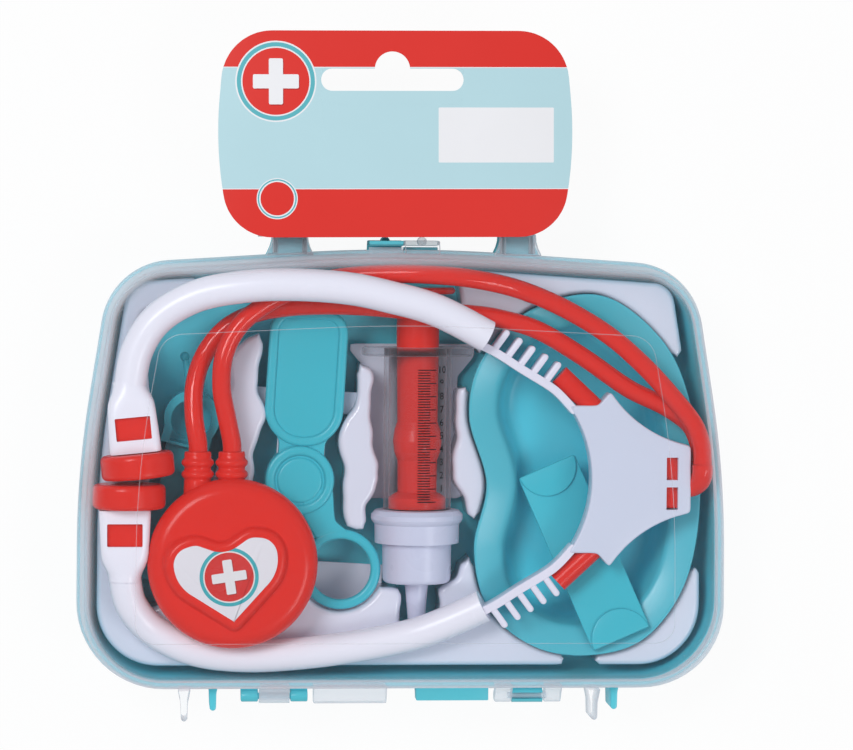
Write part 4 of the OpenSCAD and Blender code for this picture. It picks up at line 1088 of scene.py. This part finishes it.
def makeFrame(s):
    housings = [("upperEarHousing", s["upperHousing"], 1), ("lowerEarHousing", s["lowerHousing"], -1)]
    for name, (x, y, z, angle), sign in housings:
        makeHousing(name, shift(x, y, z) @ turn(angle, "Z") @ Matrix.Diagonal((1, sign, 1, 1)), s)
    for name, route in (("upperArm", s["upperArm"]), ("lowerArm", s["lowerArm"])):
        arm = Shape()
        arm.tube(smoothPath(route, 6), s["armWidth"] / 2, 32)
        arm.piece(name, armPlastic, "base", ["headset_frame"], 50, "white_plastic")
    low = s["rodHeight"] - s["combHeight"] / 2
    edge = smoothPath(s["combEdge"], 5)
    far = [edge[i] + 2.6 * np.array([-t[1], t[0]]) for i, t in enumerate(
        unit(edge[min(i + 1, len(edge) - 1)] - edge[max(i - 1, 0)]) for i in range(len(edge)))]
    spine = evenLoop(list(edge) + far[::-1], 0.4, 4)
    finger = [(-1.0, 0)] + [(u, 7 + v) for u, v in arcPoints((0, 0), 1.0, 180, 0, 10)] + [(1.0, 0)]
    comb = Shape()
    for sign in (1, -1):
        mirror = shift(0, 0 if sign > 0 else 2 * s["yokeMiddle"], 0) @ Matrix.Diagonal((1, sign, 1, 1))
        comb.slab(spine, low, low + s["combHeight"], 0.3, mirror)
        for i in range(5):
            x = s["fingers"][0][0] + (s["fingers"][1][0] - s["fingers"][0][0]) * i / 4
            y = s["fingers"][0][1] + (s["fingers"][1][1] - s["fingers"][0][1]) * i / 4
            comb.slab(evenLoop(finger, 0.4), low + 0.1, low + s["combHeight"] - 0.15, 0.55,
                      mirror @ shift(x, y, 0) @ turn(-36, "Z"))
    comb.piece("armCombs", whitePlastic, "base", ["headset_frame"], 45, "white_plastic")
    loop = evenLoop(yokeOutline(s), 0.45, 8)
    top, end = s["yokeLow"] + s["yokeThick"], s["yokeEnd"]
    near, far, half = end - 7.6, end - 4, 3.5
    windows = [evenLoop([(near, y - half), (far, y - half), (far, y + half), (near, y + half)], 0.5)
               for y in s["windowsY"]]
    yoke = Shape().plate(loop, windows, s["yokeLow"], top, 0.6)
    yoke.piece("headsetYoke", yokePlastic, "base", ["headset_frame"], 50, "white_plastic")


makeFrame(headset)
print("headset: made")


chest = {
    "at": (-52.3, -28.8), "width": 52.2, "low": 28.4, "thick": 8.0,
    "heartAt": (-53.8, -32.8), "heartLean": 8, "heartSize": 0.95, "heartRise": 2.4,
    "ports": (-63, -52.6), "portHeight": 27.8,
    "heart": [
        (0, 11.2), (-8.4, 15.6), (-20.2, 13.4), (-19.6, -1.6),
        (0, -18), (19.6, -1.6), (20.2, 13.4), (8.4, 15.6),
    ],
    "heartRadii": [6, 8, 9, 15, 3, 15, 9, 8],
}


def makeChest(s):
    r, low, top = s["width"] / 2, s["low"], s["low"] + s["thick"]
    x, y = s["at"]
    shape = Shape()
    profile = [(0.1, low), (r - 3, low), (r - 1.2, low + 0.2), (r - 0.3, low + 0.9)]
    profile += [(r, low + 1.8), (r, low + 3.2)]
    profile += [(r - 5.2 + 5.2 * math.cos(w), top - 4.8 + 4.7 * math.sin(w))
                for w in (math.radians(a) for a in range(0, 91, 10))]
    profile += [(r - 9, top - 0.03), (r - 14, top), (0.1, top)]
    shape.turned(profile, shift(x, y, 0), 128)
    heart = evenLoop(roundedLoop(s["heart"], s["heartRadii"], 0, 10) * s["heartSize"], 0.6)
    rise = s["heartRise"]
    place = shift(*s["heartAt"], top) @ turn(s["heartLean"], "Z")
    shape.rings([withHeight(insetLoop(heart, d), z) for d, z in [
        (-0.6, -0.3), (-0.2, 0.05), (0.1, 0.5), (0.35, rise - 1.1), (0.7, rise - 0.5), (1.3, rise - 0.1),
        (2.0, rise), (2.8, rise)]], place=place)
    for px in s["ports"]:
        rings = [(0.1, -12.5), (4.5, -12.5), (4.3, -6), (4.2, -3.6)]
        for middle in (-1.6, 2.0):
            bead = [(3.75 + 1.25 * math.cos(w), middle + 1.25 * math.sin(w))
                    for w in (math.radians(a) for a in range(-60, 61, 20))]
            rings += [(4.1, middle - 1.5)] + bead + [(4.1, middle + 1.5)]
        rings += [(4.15, 4.4), (4.0, 5.2), (3.7, 5.4), (3.0, 5.4), (3.0, 0), (0.1, 0)]
        shape.turned(rings, shift(px, 0, s["portHeight"]) @ turn(-90, "X"), 40)
    shape.piece("chestHead", redPlastic, "base", ["chestpiece_front"], 45, "red_plastic")
    label = Shape(place)
    label.slab(insetLoop(heart, 3.0), rise - 0.1, rise + 0.3, 0.05, None, 0.12)
    label.piece("heartLabel", printedHeart, "base", ["heart_sticker"])


makeChest(chest)
print("chest piece: made")


elbow = {
    "x": 92.7, "radius": 3.2, "heights": (24.8, 31.0), "top": 1.6,
    "meet": 26.2,  # height at which both branches run into the yoke
    "plug": ((79.4, -12.1, 23.6), (88.8, 6.1, 28.4)),
}


def makeElbow(s):
    shape = Shape()
    for z in s["heights"]:
        lean = s["meet"] - z
        path = smoothPath([(s["x"], s["top"], z), (s["x"], -0.4, z), (s["x"] - 0.1, -1.8, z + 0.1 * lean),
                           (s["x"] - 0.7, -3.8, z + 0.35 * lean), (s["x"] - 2.3, -5.4, z + 0.7 * lean),
                           (s["x"] - 5, -6.2, z + 0.9 * lean)], 5)
        fade = [s["radius"] - 0.9 * max(0, i / (len(path) - 1) - 0.5) for i in range(len(path))]
        shape.tube(path, fade, 28)
    shape.block((s["x"] - 1.9, -3.0, s["heights"][0]), (s["x"] + 1.6, 0.6, s["heights"][1]), 0.6)
    shape.block(*s["plug"], 0.4)
    shape.piece("tubeElbow", redTube, "base", ["tube_elbow"], 50, "red_plastic")


makeElbow(elbow)
print("elbow: made")


def makeScissors(s):
    half, length, thick = s["bladeWidth"] / 2, s["bladeLength"], s["half"]
    blade = roundedLoop([
        (half - 0.4, length), (-half + 0.4, length), (-half, 27), (-half + 1.8, 17), (-7.1, 11.8), (-7.1, 0),
        (7.1, 0), (7.1, 11.8), (half - 1.8, 17), (half, 27),
    ], [7, 7, 30, 6, 4, 0.4, 0.4, 4, 6, 30], 0, 8)
    side, tip = half - 3, length - 3
    panel = roundedLoop([(side, tip), (-side, tip), (-side, 13.6), (side, 13.6)], [4, 4, 8.6, 8.6], 0, 12)
    rx, ry, band = *s["ring"], s["ringBand"]
    outer = s["ringWidth"] / 2
    arm = [(2, -3), (1.2, -10), (rx - 8.2, ry + outer - 3.6), (rx - 3, ry + outer - 1.6),
           (rx + 2.6, ry + outer - 1.2), (11.7, -12), (10.4, -1.6)]
    arm = evenLoop(arm, 0.7, 3)
    for name, sign, low, node, body in (
            ("scissorUpper", 1, s["low"] + thick + s["gap"], "scissor_front", "base"),
            ("scissorLower", -1, s["low"], "scissor_back", "scissor_half")):
        place = shift(*s["pivot"], low) @ turn(s["lean"], "Z") @ Matrix.Diagonal((sign, 1, 1, 1))
        shape = Shape(place)
        sunk = thick - 0.9 if sign > 0 else thick
        shape.slab(evenLoop(blade, 0.6), 0, sunk, 0.3 if sign > 0 else 0.5)
        if sign > 0:
            shape.band(evenLoop(panel, 0.6), [
                (-3.0, 1.2), (-3.0, thick - 0.8), (-2.85, thick - 0.35), (-2.4, thick - 0.05), (-1.9, thick),
                (-1.0, thick), (-0.5, thick - 0.1), (-0.15, thick - 0.45), (0, thick - 1.2)])
            shape.turned([(0.1, 0), (10.4, 0), (10.7, 0.4), (10.7, thick - 0.2), (10.5, thick + 0.35),
                          (10.2, thick + 0.62), (9.7, thick + 0.7), (8.6, thick + 0.7), (8.1, thick + 0.55),
                          (7.8, thick + 0.1), (7.6, thick - 0.4), (7.1, thick - 0.4), (6.9, thick),
                          (6.6, thick + 0.25), (6.2, thick + 0.3), (0.1, thick + 0.3)],
                         Matrix.Identity(4), 96)
        else:
            shape.turned([(3.7, 0), (10.4, 0), (10.7, 0.4), (10.7, thick - 0.3), (10.4, thick), (3.7, thick)],
                         Matrix.Identity(4), 96, True)
        shape.slab(arm, 0.05, thick - 0.05, 0.6)
        inner = outer - band
        shape.turned([(inner, 1.0), (inner, thick - 1.0), (inner + 0.15, thick - 0.45),
                      (inner + 0.6, thick - 0.08), (inner + 1.1, thick), (outer - 1.1, thick),
                      (outer - 0.6, thick - 0.08),
                      (outer - 0.15, thick - 0.45), (outer, thick - 1.0), (outer, 1.0), (outer - 0.4, 0.3),
                      (outer - 1, 0), (inner + 1, 0), (inner + 0.4, 0.3)], shift(rx, ry, 0), 96, True)
        if sign > 0:
            stud = [(0.1, -3.3), (3.3, -3.3), (3.6, -3.0), (3.6, 0.5), (0.1, 0.5)]
            shape.turned(stud, Matrix.Identity(4), 48)
        shape.piece(name, tealPlastic, body, [node], 40, "teal_plastic")


makeScissors(scissors)
print("scissors: made")


spatula = {
    "at": (69, -53.4, 21.7), "lean": 23.4, "tip": -8.0,
    "width": 19.2, "length": 58.6, "thick": 1.6, "pad": 0.9,
}


def makeSpatula(s):
    half, length, thick = s["width"] / 2, s["length"], s["thick"]
    shape = Shape(shift(*s["at"]) @ turn(s["lean"], "Z") @ turn(s["tip"], "X"))
    strip = roundedLoop([(-half, 0), (half, 0), (half, length), (-half, length)], [0.8] * 4, 0, 4)
    shape.slab(evenLoop(strip, 0.8), 0, thick, 0.35)
    r = half - 0.2
    for start, y in ((0, 0.05), (180, length - 0.05)):
        pad = evenLoop(arcPoints((0, y), r, start, start + 180, 40), 0.6, 1)
        shape.slab(pad, thick - 0.5, thick + s["pad"], 0.1, None, 0.5)
    shape.piece("tongueSpatula", tealPlastic, "base", ["spatula"], 40, "teal_plastic")


makeSpatula(spatula)
print("spatula: made")


syringe = {
    "x": 5.3, "z": 16.2, "barrel": 10.5, "bore": 9.0, "top": 37.2, "end": -18.8,
    "flange": (17.5, 10.0, 2.6), "first": 30.4, "step": 4.08,
    "numbers": 10, "ticksEach": 5, "tick": 0.17, "tickFrom": -0.6, "tickLong": 5.4, "tickShort": 3.3,
    "numberSize": 3.0, "numberAt": 7.6,
}


def makeBarrel(s):
    shape = Shape()
    outer, bore = s["barrel"], s["bore"]
    place = shift(s["x"], 0, s["z"]) @ turn(-90, "X")
    shape.turned([(bore, s["end"]), (outer - 0.5, s["end"]), (outer, s["end"] + 0.5), (outer, s["top"] - 0.3),
                  (outer - 0.3, s["top"]), (bore, s["top"])], place, 96, True)
    wide, high, thick = s["flange"]
    reach = math.degrees(math.asin(high / wide))
    plate = arcPoints((0, 0), wide, -reach, reach, 12) + arcPoints((0, 0), wide, 180 - reach, 180 + reach, 12)
    shape.slab(evenLoop(plate, 0.6, 4), s["top"] - thick, s["top"], 0.6, place)
    shape.piece("syringeBarrel", clearBarrel, "base", ["syringe_barrel"], 40, "clear_plastic")


makeBarrel(syringe)


def makeScale(s):
    vertices, faces = [], []

    def onBarrel(across, along):
        # across is measured from the middle line, along the skin
        r = s["barrel"] + 0.05
        w = across / r
        return (s["x"] + r * math.sin(w), along, s["z"] + r * math.cos(w))

    def patch(u0, u1, v0, v1):
        cuts = 6
        first = len(vertices)
        for k in range(cuts + 1):
            u = u0 + (u1 - u0) * k / cuts
            vertices.extend([onBarrel(u, v0), onBarrel(u, v1)])
        for k in range(cuts):
            a = first + 2 * k
            faces.append((a, a + 2, a + 3, a + 1))

    each = s["ticksEach"]
    for i in range(s["numbers"] * each + 1):
        y = s["first"] - s["step"] * i / each
        reach = s["tickShort"] if i % each else s["tickLong"]
        patch(s["tickFrom"], reach, y - s["tick"], y + s["tick"])
    for i in range(s["numbers"]):
        number = bpy.data.curves.new("number", "FONT")
        number.body = str(s["numbers"] - i)
        number.size = s["numberSize"]
        number.offset = 0.03
        number.align_x, number.align_y = "CENTER", "CENTER"
        holder = bpy.data.objects.new("number", number)
        bpy.context.scene.collection.objects.link(holder)
        ready = holder.evaluated_get(bpy.context.evaluated_depsgraph_get())
        flat = bpy.data.meshes.new_from_object(ready)
        bpy.data.objects.remove(holder)
        first = len(vertices)
        y = s["first"] - s["step"] * i
        vertices.extend(onBarrel(s["numberAt"] + v.co.x * 1.2, y + v.co.y) for v in flat.vertices)
        faces.extend(tuple(first + k for k in p.vertices) for p in flat.polygons)
        bpy.data.meshes.remove(flat)
    mesh = bpy.data.meshes.new("barrelScale")
    mesh.from_pydata([(x * 0.001, (y + caseShift) * 0.001, z * 0.001) for x, y, z in vertices], [], faces)
    showPiece(bpy.data.objects.new("barrelScale", mesh), scaleInk, "base", [], 60)


scaleInk = mouldedPaint("scaleInk", (0.004, 0.004, 0.006), 0.5, 0.1, shine=0.05)
makeScale(syringe)
print("syringe scale: printed")


finishes = {
    "neck_rod_upper": redPlastic, "neck_rod_lower": redPlastic,
    "ear_tip_upper": redPlastic, "ear_tip_lower": redPlastic, "chestpiece_back": redPlastic,
    "syringe_plunger": redPlastic,
    "syringe_cap": capPlastic, "otoscope_handle": tealPlastic, "otoscope_head": tealPlastic,
}
for name, paint in finishes.items():
    nodes[name].data.materials.clear()
    nodes[name].data.materials.append(paint.material)
print("finishes: on the modelled pieces")
